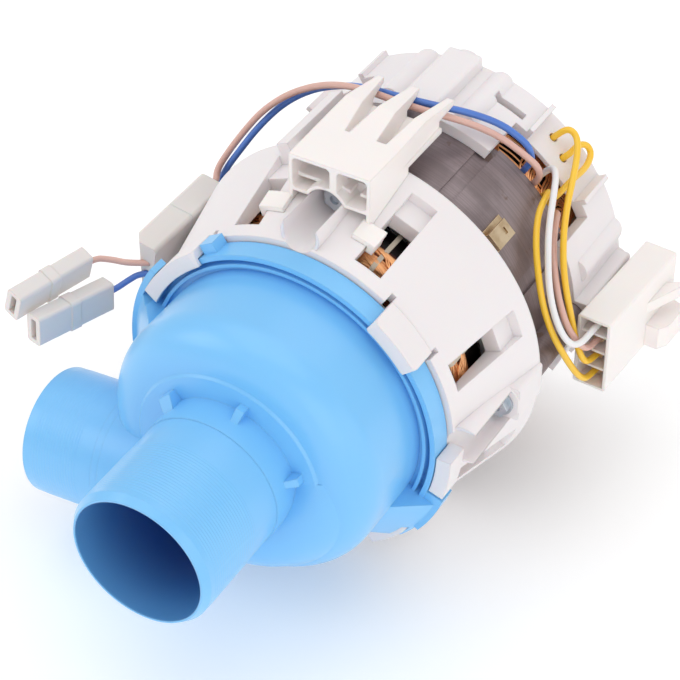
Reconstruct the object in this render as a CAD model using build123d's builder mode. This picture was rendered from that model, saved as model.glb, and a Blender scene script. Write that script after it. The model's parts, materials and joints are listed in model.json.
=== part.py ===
"""Circulation pump with its open-frame induction motor.

Millimetres. The origin is the centre of the inlet mouth, +Y runs along the shaft to the motor's rear,
+Z is up and +X is to the right as seen from the inlet. Angles round the shaft start at +X and turn
towards +Z.
"""
import os
from math import cos, degrees, pi, radians, sin, tan
from build123d import *

os.makedirs("parts", exist_ok=True)

# Inlet and outlet spigots of the blue casing
inlet_radius = 25.0
inlet_wall = 2.3
outlet_radius = 21.9
outlet_wall = 2.3
outlet_reach = 77.3
outlet_offset = 23.0
outlet_tilt = 5.0
outlet_station = 62.0

# Casing along the shaft
hub_radius = 34.5
hub_station = 51.0
casing_radius = 48.5
casing_wall = 2.6
casing_shoulder = 13.0
flange_radius = 55.0
flange_front = 86.0
flange_rear = 94.0
rim_band = 1.9

# Motor stack
core_radius = 58.0
core_front = 129.0
core_length = 50.0
bore_radius = 30.5
slot_count = 24
slot_width = 4.6
slot_inner = 33.2
slot_outer = 50.2
slot_mouth = 2.0
air_gap = 0.4
screw_circle = 60.5
screw_angles = 4
ear_radius = 5.5

# Housings
front_small = 57.0
front_large = 66.4
front_face = 94.5
front_rear = 137.0
front_wall = 3.0
pad_reach = 67.0
pad_width = 13.0
pad_corner = 1.2
rear_face = 171.0
rear_radius = 62.2
rear_wall = 4.4
rear_end = 213.0
rear_plate = 2.8
window_count = 8
window_width = 10.0

# Shaft, bearings
shaft_radius = 5.0
seal_shaft_radius = 4.0
rotor_shaft_radius = 7.0
tip_radius = 3.0
front_bearing_radius = 13.0
front_bearing_width = 8.0
front_bearing_station = 102.3
rear_bearing_radius = 11.0
rear_bearing_bore = 4.0
rear_bearing_width = 7.0
rear_bearing_station = 202.2
ball_count = 7

# Impeller
impeller_radius = 38.0
impeller_station = 67.0
vane_count = 6
vane_thickness = 2.0

# Screws
screw_radius = 2.0
screw_head_radius = 4.2
screw_seat = 120.0
screw_end = 198.0

# Clearances
seat_gap = 0.02
loose_gap = 0.1
rest_gap = 0.3
running_gap = 0.05

core_rear = core_front + core_length
inlet_bore = inlet_radius - inlet_wall
outlet_bore = outlet_radius - outlet_wall


def cross_plane(station):
    """Plane across the shaft at a station, with local x to +X and local y to +Z."""
    return Plane(origin=(0, station, 0), x_dir=(1, 0, 0), z_dir=(0, -1, 0))


def polar(radius, angle):
    """Point in a cross plane."""
    return (radius * cos(radians(angle)), radius * sin(radians(angle)))


def radial_plane(angle, station, radius):
    """Plane that faces away from the shaft, with local x round the shaft and local y to +Y."""
    x, z = polar(radius, angle)
    outward = (cos(radians(angle)), 0, sin(radians(angle)))
    around = (sin(radians(angle)), 0, -cos(radians(angle)))
    return Plane(origin=(x, station, z), x_dir=around, z_dir=outward)


def disc(radius, start, end, hole=0.0, mode=Mode.ADD):
    """Round plate or ring about the shaft between two stations."""
    with BuildSketch(cross_plane(start)) as section:
        Circle(radius)
        if hole > 0:
            Circle(hole, mode=Mode.SUBTRACT)
    extrude(section.sketch, amount=start - end, mode=mode)


def turned(points, mode=Mode.ADD):
    """Solid turned about the shaft from (radius, station) points."""
    with BuildSketch(Plane.XY) as section:
        with BuildLine():
            Polyline(*points, close=True)
        make_face()
    revolve(section.sketch, axis=Axis.Y, mode=mode)


def sector(inner, outer, middle, half, start, end, mode=Mode.ADD):
    """Piece of a ring about the shaft, from middle - half to middle + half degrees."""
    with BuildSketch(cross_plane(start)) as section:
        Circle(outer)
        Circle(inner, mode=Mode.SUBTRACT)
        with BuildLine():
            Polyline((0, 0), polar(2 * outer, middle - half), polar(2 * outer, middle + half), close=True)
        make_face(mode=Mode.INTERSECT)
    extrude(section.sketch, amount=start - end, mode=mode)


def wedge(points, middle, half, mode=Mode.ADD):
    """Solid swept about the shaft, half degrees to each side of a middle, from (radius, station) points."""
    x, z = polar(1.0, middle + half)
    with BuildSketch(Plane(origin=(0, 0, 0), x_dir=(x, 0, z), z_dir=(-z, 0, x))) as section:
        with BuildLine():
            Polyline(*points, close=True)
        make_face()
    revolve(section.sketch, axis=Axis.Y, revolution_arc=2 * half, mode=mode)


def radial_block(angle, inner, outer, start, end, width, mode=Mode.ADD):
    """Straight block that stands away from the shaft at an angle."""
    with BuildSketch(radial_plane(angle, (start + end) / 2, inner)) as section:
        Rectangle(width, end - start)
    extrude(section.sketch, amount=outer - inner, mode=mode)


def rods(circle_radius, count, radius, start, end, first=0.0, mode=Mode.ADD):
    """Round rods parallel to the shaft, spaced evenly on a circle."""
    with BuildSketch(cross_plane(start)) as section:
        with PolarLocations(circle_radius, count, start_angle=first):
            Circle(radius)
    extrude(section.sketch, amount=start - end, mode=mode)


# Volute: the blue casing with its spigots, spiral channel and flange
tilt = radians(outlet_tilt)
outlet_direction = Vector(-cos(tilt), 0, -sin(tilt))
outlet_side = Vector(sin(tilt), 0, -cos(tilt))
outlet_root = outlet_side * outlet_offset + Vector(0, outlet_station, 0)
channel_rear = outlet_station + outlet_radius
spiral = [(0.0, outlet_radius, outlet_offset), (32.0, 20.4, 25.4), (64.0, 18.6, 28.2), (96.0, 16.8, 30.6)]


def outlet_plane(distance):
    """Plane across the outlet, looking back into the casing, at a distance from the tangent point."""
    origin = outlet_root + outlet_direction * distance
    return Plane(origin=origin, x_dir=(0, 1, 0), z_dir=outlet_direction * -1)


def spiral_plane(turn, radius, offset):
    """Plane across the spiral channel, at an angle back from the tangent point."""
    angle = -90.0 + outlet_tilt + turn
    x, z = polar(offset, angle)
    forward = Vector(sin(radians(angle)), 0, -cos(radians(angle)))
    return Plane(origin=(x, channel_rear - radius, z), x_dir=(0, 1, 0), z_dir=forward * -1)


def spiral_channel(wall, mode):
    """Spiral channel that shrinks away from the outlet, thinner by a wall."""
    sections = []
    for turn, radius, offset in spiral:
        with BuildSketch(spiral_plane(turn, radius, offset)) as section:
            Circle(radius - wall)
        sections.append(section.sketch.faces()[0])
    loft(sections, mode=mode)


def casing_body(wall, mode=Mode.ADD):
    """Casing drum from its rounded shoulder to the flange, thinner by a wall."""
    side = casing_radius - wall
    front = hub_station + wall
    shoulder = casing_shoulder - wall
    bend = shoulder * sin(radians(45))
    start = (side - shoulder, front)
    middle = (side - shoulder + bend, front + shoulder - bend)
    finish = (side, front + shoulder)
    with BuildSketch(Plane.XY) as section:
        with BuildLine():
            Polyline((0, flange_rear), (0, front), start)
            ThreePointArc(start, middle, finish)
            Polyline(finish, (side, flange_rear), (0, flange_rear))
        make_face()
    revolve(section.sketch, axis=Axis.Y, mode=mode)


lip_length = 2.6
lip_step = 1.6
hose_stop = 39.5
stop_step = 0.35
outlet_steps = ((49.5, 0.5), (46.5, 1.1))
outlet_foot = 30.0
lug_spans = ((135.0, 5.2, 4.6), (75.0, 2.6, 4.0), (15.0, 2.6, 4.0))
lug_length = 6.6
flange_plate = 6.0
ridge_width = 1.3
groove_inner = casing_radius + 2.9
groove_floor = 90.4
arm_height = 6.0
arm_slot = 3.6
arm_spans = ((166.0, 18.0), (-27.0, 9.0))
arm_slot_span = (152.5, 7.0)
gusset_spans = ((173.0, 14.6), (-33.0, 11.5))
gusset_front = 74.0
tab_spans = ((45.0, 10.0), (141.0, 15.5), (225.0, 10.0), (313.0, 9.0))
tab_front = 84.2
tab_thickness = 3.0
tab_lip = 1.6
tab_lip_reach = 2.0
hook_angle = 121.3
hook_height = 3.6
hook_width = 5.6
plate_seat = 4.4
seal_groove = 2.0

with BuildPart() as volute:
    casing_body(0.0)
    # inlet spigot with its stepped lip
    turned([(0, 0), (inlet_radius - lip_step, 0), (inlet_radius, lip_length),
            (inlet_radius, hub_station + 2), (0, hub_station + 2)])
    # raised hub face with its crease
    turned([(0, hub_station - 0.8), (hub_radius - 1.5, hub_station - 0.8),
            (hub_radius, hub_station + 0.6), (0, hub_station + 0.6)])
    # outlet spigot, tangent to the spiral channel
    with BuildSketch(outlet_plane(outlet_reach)):
        Circle(outlet_radius)
    extrude(amount=outlet_reach)
    for distance, step in outlet_steps:
        with BuildSketch(outlet_plane(distance)):
            Circle(outlet_radius + step)
        extrude(amount=distance - outlet_foot)
    spiral_channel(0.0, Mode.ADD)
    # flange with its rim band and ridge
    disc(flange_radius, flange_rear - flange_plate, flange_rear)
    disc(flange_radius, flange_front, flange_rear, hole=flange_radius - rim_band)
    disc(groove_inner, flange_front + 0.3, flange_rear, hole=groove_inner - ridge_width)
    disc(flange_radius - rim_band, flange_front, groove_floor, hole=groove_inner, mode=Mode.SUBTRACT)
    # hose stop and its three lugs, sloped towards the inlet
    disc(inlet_radius + stop_step, hose_stop, hub_station)
    for lug, lug_width, lug_height in lug_spans:
        lug_half = degrees(lug_width / 2 / inlet_radius)
        wedge([(inlet_radius - 1, hub_station - lug_length),
               (inlet_radius + lug_height, hub_station - lug_length + 3),
               (inlet_radius + lug_height, hub_station), (inlet_radius - 1, hub_station)], lug, lug_half)
    # bayonet arms with their gussets, and the latch hook on the rim
    for middle, half in gusset_spans:
        wedge([(casing_radius - 1, gusset_front), (flange_radius + arm_height - 1, flange_front + 1.5),
               (flange_radius + arm_height - 1, flange_rear - 1), (casing_radius - 1, flange_rear - 1)],
              middle, half)
    for middle, half in arm_spans:
        sector(flange_radius - 1, flange_radius + arm_height, middle, half, flange_front + 0.5,
               flange_rear - 1)
    sector(flange_radius + 0.1, flange_radius + 0.1 + arm_slot, *arm_slot_span, flange_front - 9,
           flange_rear,
           mode=Mode.SUBTRACT)
    radial_block(hook_angle, flange_radius - 1, flange_radius + hook_height, flange_front + 2, flange_rear,
                 hook_width)
    # room for the front housing's tabs
    for middle, half in tab_spans:
        sector(flange_radius, flange_radius + tab_thickness + 2 * rest_gap, middle, half + 0.4,
               tab_front - rest_gap, flange_rear, mode=Mode.SUBTRACT)
        sector(flange_radius - tab_lip_reach - rest_gap, flange_radius + 1, middle, half + 0.4,
               tab_front - rest_gap, flange_front, mode=Mode.SUBTRACT)
    # water passages
    casing_body(casing_wall, Mode.SUBTRACT)
    spiral_channel(casing_wall, Mode.SUBTRACT)
    with BuildSketch(outlet_plane(outlet_reach)):
        Circle(outlet_bore)
    extrude(amount=outlet_reach, mode=Mode.SUBTRACT)
    disc(inlet_bore, -1, hub_station + 6, mode=Mode.SUBTRACT)
    # seat for the seal plate
    disc(casing_radius + 1.5, flange_rear - plate_seat, flange_rear, mode=Mode.SUBTRACT)
volute.part.label = "volute"
export_step(volute.part, "parts/volute.step")

# Wear ring pressed into the inlet behind the spigot's bore
eye_radius = 17.5
ring_front = hub_station - 7
with BuildPart() as wear_ring:
    disc(inlet_bore - seat_gap, ring_front, hub_station + 4, hole=eye_radius + rest_gap + 0.2)
wear_ring.part.label = "wear_ring"
export_step(wear_ring.part, "parts/wear_ring.step")

# Seal plate that closes the pump chamber and carries the shaft seal's seat
plate_radius = casing_radius + 1.4
plate_front = flange_rear - plate_seat + seal_groove
cup_radius = 15.5
boot_radius = 13.0
with BuildPart() as seal_plate:
    disc(plate_radius, plate_front, flange_rear + 0.3, hole=boot_radius)
    disc(casing_radius - casing_wall - 0.2, plate_front - 3.0, plate_front, hole=casing_radius - 6)
    disc(cup_radius, plate_front - 5.0, plate_front, hole=boot_radius)
    disc(boot_radius, flange_rear - 1.2, flange_rear + 0.3, hole=6.5)
seal_plate.part.label = "seal_plate"
export_step(seal_plate.part, "parts/seal_plate.step")

# Ring seal between the casing's seat and the plate
with BuildPart() as cover_seal:
    disc(plate_radius, flange_rear - plate_seat + seat_gap, plate_front - seat_gap,
         hole=casing_radius - 1.2)
    fillet(cover_seal.edges(), radius=0.7)
cover_seal.part.label = "cover_seal"
export_step(cover_seal.part, "parts/cover_seal.step")

# Impeller: eye neck, front shroud, curved vanes, back shroud and seal cup
shroud = 2.2
eye_bore = eye_radius - 2.0
neck_front = hub_station - 6
front_shroud_edge = 74.0
back_shroud_front = 79.5
back_shroud_rear = back_shroud_front + shroud
hub_front = impeller_station
hub_outer = 14.5
cup_bore = 12.0
cup_floor = hub_front + 6.0

with BuildPart() as impeller:
    turned([(eye_bore, neck_front), (eye_radius, neck_front), (eye_radius, 58.0),
            (impeller_radius, front_shroud_edge - shroud), (impeller_radius, front_shroud_edge),
            (eye_bore, 58.0 + shroud + 0.6)])
    disc(impeller_radius, back_shroud_front, back_shroud_rear, hole=cup_bore)
    disc(hub_outer, hub_front, back_shroud_rear, hole=seal_shaft_radius)
    with BuildSketch(cross_plane(64.0)) as vanes:
        for vane in range(vane_count):
            with BuildLine() as vane_line:
                first = 360.0 / vane_count * vane
                ThreePointArc(polar(hub_outer - 1.0, first), polar(impeller_radius * 0.66, first + 26),
                              polar(impeller_radius - 1.3, first + 62))
            trace(vane_line.edges(), line_width=vane_thickness)
    extrude(vanes.sketch, amount=64.0 - back_shroud_front)
    # room under the front shroud's cone and inside the eye
    turned([(eye_bore - 0.01, 50.0), (eye_bore - 0.01, 62.0), (hub_outer, 66.0), (hub_outer, 50.0)],
           mode=Mode.SUBTRACT)
    disc(cup_bore, cup_floor, back_shroud_rear + 1, mode=Mode.SUBTRACT)
    disc(seal_shaft_radius + seat_gap, 50.0, back_shroud_rear, mode=Mode.SUBTRACT)
impeller.part.label = "impeller"
export_step(impeller.part, "parts/impeller.step")

# Domed nut on the shaft's threaded tip
nut_flats = 11.0
with BuildPart() as impeller_nut:
    with BuildSketch(cross_plane(hub_front - 5.5)):
        RegularPolygon(nut_flats / 2, 6, major_radius=False)
        Circle(tip_radius + seat_gap, mode=Mode.SUBTRACT)
    extrude(amount=-5.5)
impeller_nut.part.label = "impeller_nut"
export_step(impeller_nut.part, "parts/impeller_nut.step")

# Shaft seal, from the seal plate towards the impeller
face_station = plate_front - 4.0
with BuildPart() as seal_boot:
    disc(boot_radius - seat_gap, face_station + 1.5, flange_rear - 1.2 - seat_gap, hole=10.5)
    disc(10.5, flange_rear - 2.6, flange_rear - 1.2 - seat_gap, hole=7.0)
seal_boot.part.label = "seal_boot"
export_step(seal_boot.part, "parts/seal_boot.step")

with BuildPart() as seal_seat:
    disc(10.5 - seat_gap, face_station, flange_rear - 2.6 - seat_gap, hole=6.0)
    chamfer(seal_seat.edges().group_by(Axis.Y)[0], 0.6)
seal_seat.part.label = "seal_seat"
export_step(seal_seat.part, "parts/seal_seat.step")

with BuildPart() as seal_face_ring:
    disc(9.4, face_station - 3.6, face_station - running_gap, hole=6.2)
    disc(8.2, face_station - running_gap - 1.0, face_station - running_gap, hole=6.2)
seal_face_ring.part.label = "seal_face_ring"
export_step(seal_face_ring.part, "parts/seal_face_ring.step")

with BuildPart() as seal_bellows:
    disc(6.1, cup_floor + seat_gap, face_station - 3.6 - seat_gap, hole=seal_shaft_radius + seat_gap)
    disc(9.4, face_station - 5.0, face_station - 3.6 - seat_gap, hole=seal_shaft_radius + seat_gap)
seal_bellows.part.label = "seal_bellows"
export_step(seal_bellows.part, "parts/seal_bellows.step")

spring_wire = 0.7
spring_radius = 8.2
spring_front = cup_floor + spring_wire + seat_gap
spring_rear = face_station - 5.0 - spring_wire - seat_gap
spring_turns = 3
with BuildPart() as seal_spring:
    with BuildLine() as coil_line:
        Helix(pitch=(spring_rear - spring_front) / spring_turns, height=spring_rear - spring_front,
              radius=spring_radius, center=(0, spring_front, 0), direction=(0, 1, 0))
    with BuildSketch(coil_line.line ^ 0):
        Circle(spring_wire)
    sweep(is_frenet=True)
seal_spring.part.label = "seal_spring"
export_step(seal_spring.part, "parts/seal_spring.step")

# Shaft, stepped from its threaded tip to the rear journal
shaft_tip = hub_front - 7.0
shaft_end = rear_bearing_station + rear_bearing_width + 0.2
with BuildPart() as shaft:
    disc(tip_radius, shaft_tip, hub_front)
    disc(seal_shaft_radius, hub_front, 100.0)
    disc(shaft_radius, 100.0, front_bearing_station + front_bearing_width)
    disc(rotor_shaft_radius, front_bearing_station + front_bearing_width, core_rear + 16.0)
    disc(shaft_radius, core_rear + 16.0, rear_bearing_station)
    disc(rear_bearing_bore, rear_bearing_station, shaft_end)
    chamfer(shaft.edges().group_by(Axis.Y)[0] + shaft.edges().group_by(Axis.Y)[-1], 0.5)
shaft.part.label = "shaft"
export_step(shaft.part, "parts/shaft.step")

# Rubber slinger that throws leaked water off the shaft
with BuildPart() as slinger:
    turned([(seal_shaft_radius + seat_gap, 95.6), (8.5, 95.6), (9.5, 96.6), (6.5, 98.8),
            (seal_shaft_radius + seat_gap, 98.8)])
slinger.part.label = "slinger"
export_step(slinger.part, "parts/slinger.step")

# Rotor core and its cast cage
rotor_radius = bore_radius - air_gap
bar_circle = 26.0
bar_radius = 2.0
bar_count = 18
with BuildPart() as rotor_core:
    disc(rotor_radius, core_front, core_rear, hole=rotor_shaft_radius + seat_gap)
    rods(bar_circle, bar_count, bar_radius + seat_gap, core_front, core_rear, mode=Mode.SUBTRACT)
rotor_core.part.label = "rotor_core"
export_step(rotor_core.part, "parts/rotor_core.step")

end_ring = 6.0
with BuildPart() as rotor_cage:
    disc(bar_circle + 3.2, core_front - end_ring, core_front - seat_gap, hole=bar_circle - 6)
    disc(bar_circle + 3.2, core_rear + seat_gap, core_rear + end_ring, hole=bar_circle - 6)
    rods(bar_circle, bar_count, bar_radius, core_front - 1, core_rear + 1)
rotor_cage.part.label = "rotor_cage"
export_step(rotor_cage.part, "parts/rotor_cage.step")


def bearing_rings(name, bore, outer, start, width):
    """Outer ring, inner ring and ball set of a grooved ball bearing, each written as its own piece."""
    ball = (outer - bore) * 0.27
    pitch = (outer + bore) / 2
    middle = start + width / 2
    land = ball * 0.55
    with BuildPart() as outer_ring:
        disc(outer, start, start + width, hole=pitch + land)
        with BuildSketch(Plane.XY) as groove:
            with Locations((pitch, middle)):
                Circle(ball + running_gap)
        revolve(groove.sketch, axis=Axis.Y, mode=Mode.SUBTRACT)
    outer_ring.part.label = name + "_outer_ring"
    export_step(outer_ring.part, "parts/" + name + "_outer_ring.step")
    with BuildPart() as inner_ring:
        disc(pitch - land, start, start + width, hole=bore + seat_gap)
        with BuildSketch(Plane.XY) as groove:
            with Locations((pitch, middle)):
                Circle(ball + running_gap)
        revolve(groove.sketch, axis=Axis.Y, mode=Mode.SUBTRACT)
    inner_ring.part.label = name + "_inner_ring"
    export_step(inner_ring.part, "parts/" + name + "_inner_ring.step")
    with BuildPart() as balls:
        for index in range(ball_count):
            x, z = polar(pitch, 360.0 / ball_count * index)
            with Locations((x, middle, z)):
                Sphere(ball)
    balls.part.label = name + "_balls"
    export_step(balls.part, "parts/" + name + "_balls.step")


bearing_rings("front_bearing", shaft_radius, front_bearing_radius, front_bearing_station,
              front_bearing_width)
bearing_rings("rear_bearing", rear_bearing_bore, rear_bearing_radius, rear_bearing_station,
              rear_bearing_width)

# Wave washer that preloads the rear bearing
washer_front = rear_bearing_station + rear_bearing_width + seat_gap
with BuildPart() as wave_washer:
    disc(rear_bearing_radius - 0.2, washer_front, washer_front + 0.6, hole=8.4)
wave_washer.part.label = "wave_washer"
export_step(wave_washer.part, "parts/wave_washer.step")


def ear_outline(clearance):
    """Outline of the four screw ears round the core, wider by a clearance."""
    with BuildSketch() as ears:
        with PolarLocations(screw_circle, screw_angles):
            Circle(ear_radius + clearance)
        with PolarLocations(screw_circle - ear_radius / 2, screw_angles):
            Rectangle(ear_radius, 2 * (ear_radius + clearance))
    return ears.sketch


# Stator core with slots, weld grooves and screw ears
weld_width = 5.6
weld_depth = 0.9
weld_angles = [angle for middle in (45, 135, 225, 315) for angle in (middle - 20, middle + 20)]
with BuildPart() as stator_core:
    with BuildSketch(cross_plane(core_front)):
        Circle(core_radius)
        add(ear_outline(0.0))
        with PolarLocations(screw_circle, screw_angles):
            Circle(screw_radius + loose_gap, mode=Mode.SUBTRACT)
        Circle(bore_radius, mode=Mode.SUBTRACT)
        with PolarLocations((slot_inner + slot_outer) / 2, slot_count):
            SlotOverall(slot_outer - slot_inner, slot_width, mode=Mode.SUBTRACT)
        with PolarLocations(slot_inner - 1, slot_count):
            Rectangle(6, slot_mouth, mode=Mode.SUBTRACT)
    extrude(amount=-core_length)
    for weld in weld_angles:
        radial_block(weld, core_radius - weld_depth, core_radius + 2, core_front - 1, core_rear + 1,
                     weld_width, mode=Mode.SUBTRACT)
stator_core.part.label = "stator_core"
export_step(stator_core.part, "parts/stator_core.step")

# End insulators, plates with the slots' outline on each end of the core
plate = 1.5
insulator_outer = 53.6


def end_insulator(start):
    """Insulating plate on one end of the core."""
    with BuildPart() as insulator:
        with BuildSketch(cross_plane(start)):
            Circle(insulator_outer)
            Circle(bore_radius + 0.8, mode=Mode.SUBTRACT)
            with PolarLocations((slot_inner + slot_outer) / 2, slot_count):
                SlotOverall(slot_outer - slot_inner, slot_width, mode=Mode.SUBTRACT)
        extrude(amount=-plate)
    return insulator.part


front_insulator = end_insulator(core_front - plate)
front_insulator.label = "front_insulator"
export_step(front_insulator, "parts/front_insulator.step")
rear_insulator = end_insulator(core_rear)
rear_insulator.label = "rear_insulator"
export_step(rear_insulator, "parts/rear_insulator.step")

# Windings: coil heads at both ends joined by the coil sides in the slots
tie_room = 1.2
head_outer = 52.4
head_split = 41.4
head_inner = 33.4
front_head = 106.6
rear_head = 199.4
side_width = slot_width - 0.8


def winding(inner, outer, side_inner, side_outer, front, rear, corner):
    """One winding, its two rounded coil heads and the coil sides between them."""
    with BuildPart() as coils:
        disc(outer, front, core_front - plate - tie_room, hole=inner)
        disc(outer, core_rear + plate + tie_room, rear, hole=inner)
        fillet(coils.edges().filter_by(GeomType.CIRCLE), radius=corner)
        with BuildSketch(cross_plane(core_front - plate - 5)):
            with PolarLocations((side_inner + side_outer) / 2, slot_count):
                SlotOverall(side_outer - side_inner, side_width)
        extrude(amount=-(core_length + 2 * plate + 10))
    return coils.part


main_winding = winding(head_split, head_outer, 41.9, slot_outer - 0.4, front_head, rear_head, 3.4)
main_winding.label = "main_winding"
export_step(main_winding, "parts/main_winding.step")
start_winding = winding(head_inner, head_split - 0.4, 33.6, 41.0, front_head + 2.5, rear_head - 2.5, 2.4)
start_winding.label = "start_winding"
export_step(start_winding, "parts/start_winding.step")

# Lacing round both coil heads, between the coil sides and clear of the leads' ends
tie_angles = (7.5, 22.5, 67.5, 97.5, 127.5, 157.5, 187.5, 217.5, 247.5, 277.5, 307.5, 337.5)
tie_width = 1.6
tie_thickness = 0.6
tie_corner = 1.8
with BuildPart() as winding_ties:
    for front, rear in ((front_head, core_front - plate - tie_room),
                        (core_rear + plate + tie_room, rear_head)):
        wide = head_outer - head_inner + 2 * loose_gap
        deep = rear - front + 2 * loose_gap
        for tie_angle in tie_angles:
            out = radial_plane(tie_angle, (front + rear) / 2, (head_inner + head_outer) / 2)
            loop_plane = Plane(origin=out.origin, x_dir=out.z_dir, z_dir=out.x_dir)
            with BuildSketch(loop_plane):
                RectangleRounded(wide + 2 * tie_thickness, deep + 2 * tie_thickness,
                                 tie_corner + tie_thickness)
                RectangleRounded(wide, deep, tie_corner, mode=Mode.SUBTRACT)
            extrude(amount=tie_width / 2, both=True)
winding_ties.part.label = "winding_ties"
export_step(winding_ties.part, "parts/winding_ties.step")

# Thermal cutout tied behind the rear coil head
with BuildPart() as thermal_cutout:
    with BuildSketch(cross_plane(rear_head + tie_thickness + rest_gap)):
        with Locations(polar(43.0, 225.0)):
            RectangleRounded(13.0, 8.0, 1.5)
    extrude(amount=-4.2)
thermal_cutout.part.label = "thermal_cutout"
export_step(thermal_cutout.part, "parts/thermal_cutout.step")

# Front housing: flared shell with the front bearing's hub, windows, screw scoops and tabs
front_hub = front_bearing_radius + 3.5
front_hub_rear = front_bearing_station + front_bearing_width
front_hole = 10.7
shoulder_hole = 9.2
scoop_radius = 5.8
scoop_wall = 1.2
window_front = 99.5
window_rear = 122.0
ledge_rear = 131.0
ledge_depth = 1.6
flare = (front_large - front_small) / (front_rear - front_face)
inner_large = front_large - 10.4
tab_corner = 2.5
corner_clear = 0.3
stop_radius = 60.5
stop_span = (-9.0, 8.0)
rail_angle = 114.0
rail_inner = 59.5
rail_outer = 69.5
rail_rear = 166.0
rail_width = 4.6


def front_radius(station):
    """Outer radius of the front housing's flared wall at a station."""
    return front_small + flare * (station - front_face)


def screw_pads(start, end):
    """Flat-topped pads of the housings over the screws."""
    with BuildSketch(cross_plane(start)) as pads:
        with PolarLocations((pad_reach + core_radius - 3) / 2, screw_angles):
            RectangleRounded(pad_reach - core_radius + 3, pad_width, pad_corner)
    extrude(pads.sketch, amount=start - end)


def ear_seats(start, end):
    """Room for the core and its ears in a housing, between two stations."""
    disc(core_radius + loose_gap, start, end, mode=Mode.SUBTRACT)
    with BuildSketch(cross_plane(start)) as seats:
        add(ear_outline(loose_gap))
    extrude(seats.sketch, amount=start - end, mode=Mode.SUBTRACT)


with BuildPart() as front_housing:
    turned([(front_hole, front_face), (front_small, front_face), (front_large, front_rear),
            (inner_large, front_rear), (inner_large, core_front - 3),
            (front_small - front_wall, front_face + front_wall), (front_hole, front_face + front_wall)])
    with BuildSketch(cross_plane(front_face + 1)):
        with PolarLocations(screw_circle, screw_angles):
            Circle(scoop_radius + scoop_wall)
        Circle(pad_reach, mode=Mode.INTERSECT)
    extrude(amount=front_face + 1 - front_rear)
    screw_pads(screw_seat + 1, front_rear)
    radial_block(rail_angle, rail_inner, rail_outer, front_rear - 12, rail_rear, rail_width)
    disc(insulator_outer + rest_gap, core_front - plate - rest_gap, core_front, mode=Mode.SUBTRACT)
    ear_seats(core_front - seat_gap, front_rear + 1)
    # bearing hub with its shoulder, and ribs on the front wall
    disc(front_hub, front_face + front_wall - 1, front_hub_rear, hole=front_bearing_radius + seat_gap)
    disc(front_hub - 1, front_face + front_wall - 1, front_bearing_station - seat_gap, hole=shoulder_hole)
    disc(front_hole, front_face + front_wall - 1.5, front_face + front_wall, mode=Mode.SUBTRACT)
    for rib in range(8):
        radial_block(45.0 * rib + 22.5, front_hub - 0.5, front_small - front_wall + 0.5, front_face + 1,
                     front_face + front_wall + 4, 2.4)
    # scoops in front of the screw heads, and the screw holes
    rods(screw_circle, screw_angles, scoop_radius, front_face - 1, screw_seat, mode=Mode.SUBTRACT)
    for index in range(screw_angles):
        radial_block(90.0 * index, screw_circle, screw_circle + 12, front_face - 1, screw_seat,
                     2 * scoop_radius, mode=Mode.SUBTRACT)
    rods(screw_circle, screw_angles, screw_radius + loose_gap, screw_seat - 1, front_rear,
         mode=Mode.SUBTRACT)
    # windows with a stepped ledge behind each
    for index in range(window_count):
        window_angle = 360.0 / window_count * (index + 0.5)
        radial_block(window_angle, front_small - front_wall - 1, pad_reach + 5, window_front, window_rear,
                     window_width, mode=Mode.SUBTRACT)
        radial_block(window_angle, front_radius(window_rear) - ledge_depth, pad_reach + 5, window_rear - 1,
                     ledge_rear, window_width, mode=Mode.SUBTRACT)
    # wall beside the casing's right arm
    sector(flange_radius + rest_gap, stop_radius, *stop_span, flange_front + 0.5, front_face + 1)
    # tabs that grip the casing's rim, with a slot at each side
    for middle, half in tab_spans:
        sector(flange_radius + rest_gap, flange_radius + rest_gap + tab_thickness, middle, half,
               tab_front, front_face + 1)
        sector(flange_radius - tab_lip_reach, flange_radius + rest_gap + tab_thickness, middle, half,
               tab_front, tab_front + tab_lip)
        for side in (-1, 1):
            sector(flange_radius - 3, flange_radius + 8, middle + side * (half + 0.9), 0.9,
                   front_face - 1, front_face + 4, mode=Mode.SUBTRACT)
        tab_edge = (flange_radius + rest_gap + tab_thickness + corner_clear) * sin(radians(half))
        with BuildSketch(radial_plane(middle, tab_front, flange_radius - 4)) as corners:
            for side in (-1, 1):
                with Locations((side * (tab_edge - tab_corner / 2 + 0.5), tab_corner / 2 - 0.5)):
                    Rectangle(tab_corner + 1, tab_corner + 1)
                with Locations((side * (tab_edge - tab_corner), tab_corner)):
                    Circle(tab_corner, mode=Mode.SUBTRACT)
        extrude(corners.sketch, amount=9, mode=Mode.SUBTRACT)
front_housing.part.label = "front_housing"
export_step(front_housing.part, "parts/front_housing.step")

# Rear housing: shell with the rear bearing's hub, screw lobes, coil windows, slots and lead holes
rear_hub = rear_bearing_radius + 3.5
rear_inner = rear_radius - rear_wall
lobe_rear = 208.5
lobe_radius = 6.4
lobe_dome = 4.2
side_lobe_circle = 60.0
side_lobe_radius = 4.6
side_lobe_angle = 13.5
side_lobe_rear = 208.0
coil_window_half = 19.0
coil_window_rear = 190.0
recess_half = 13.0
recess_radius = 59.4
edge_rib = 1.8
edge_rib_reach = 64.0
slot_front = 193.0
slot_rear = 196.2
slot_middle = 68.8
slot_half = 5.6
end_shoulder = 7.0
screw_bottom = screw_end + 1.0
lead_holes = ((52.0, 200.5), (45.0, 197.5))
lead_hole_radius = 1.6

with BuildPart() as rear_lobes:
    rods(screw_circle, screw_angles, lobe_radius, rear_face, lobe_rear)
    for side in (-1, 1):
        rods(side_lobe_circle, screw_angles, side_lobe_radius, rear_face + 6, side_lobe_rear,
             first=side * side_lobe_angle)
    fillet(rear_lobes.edges().filter_by(GeomType.CIRCLE).filter_by_position(Axis.Y, lobe_rear - 1,
                                                                            rear_end),
           radius=lobe_dome)

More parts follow.
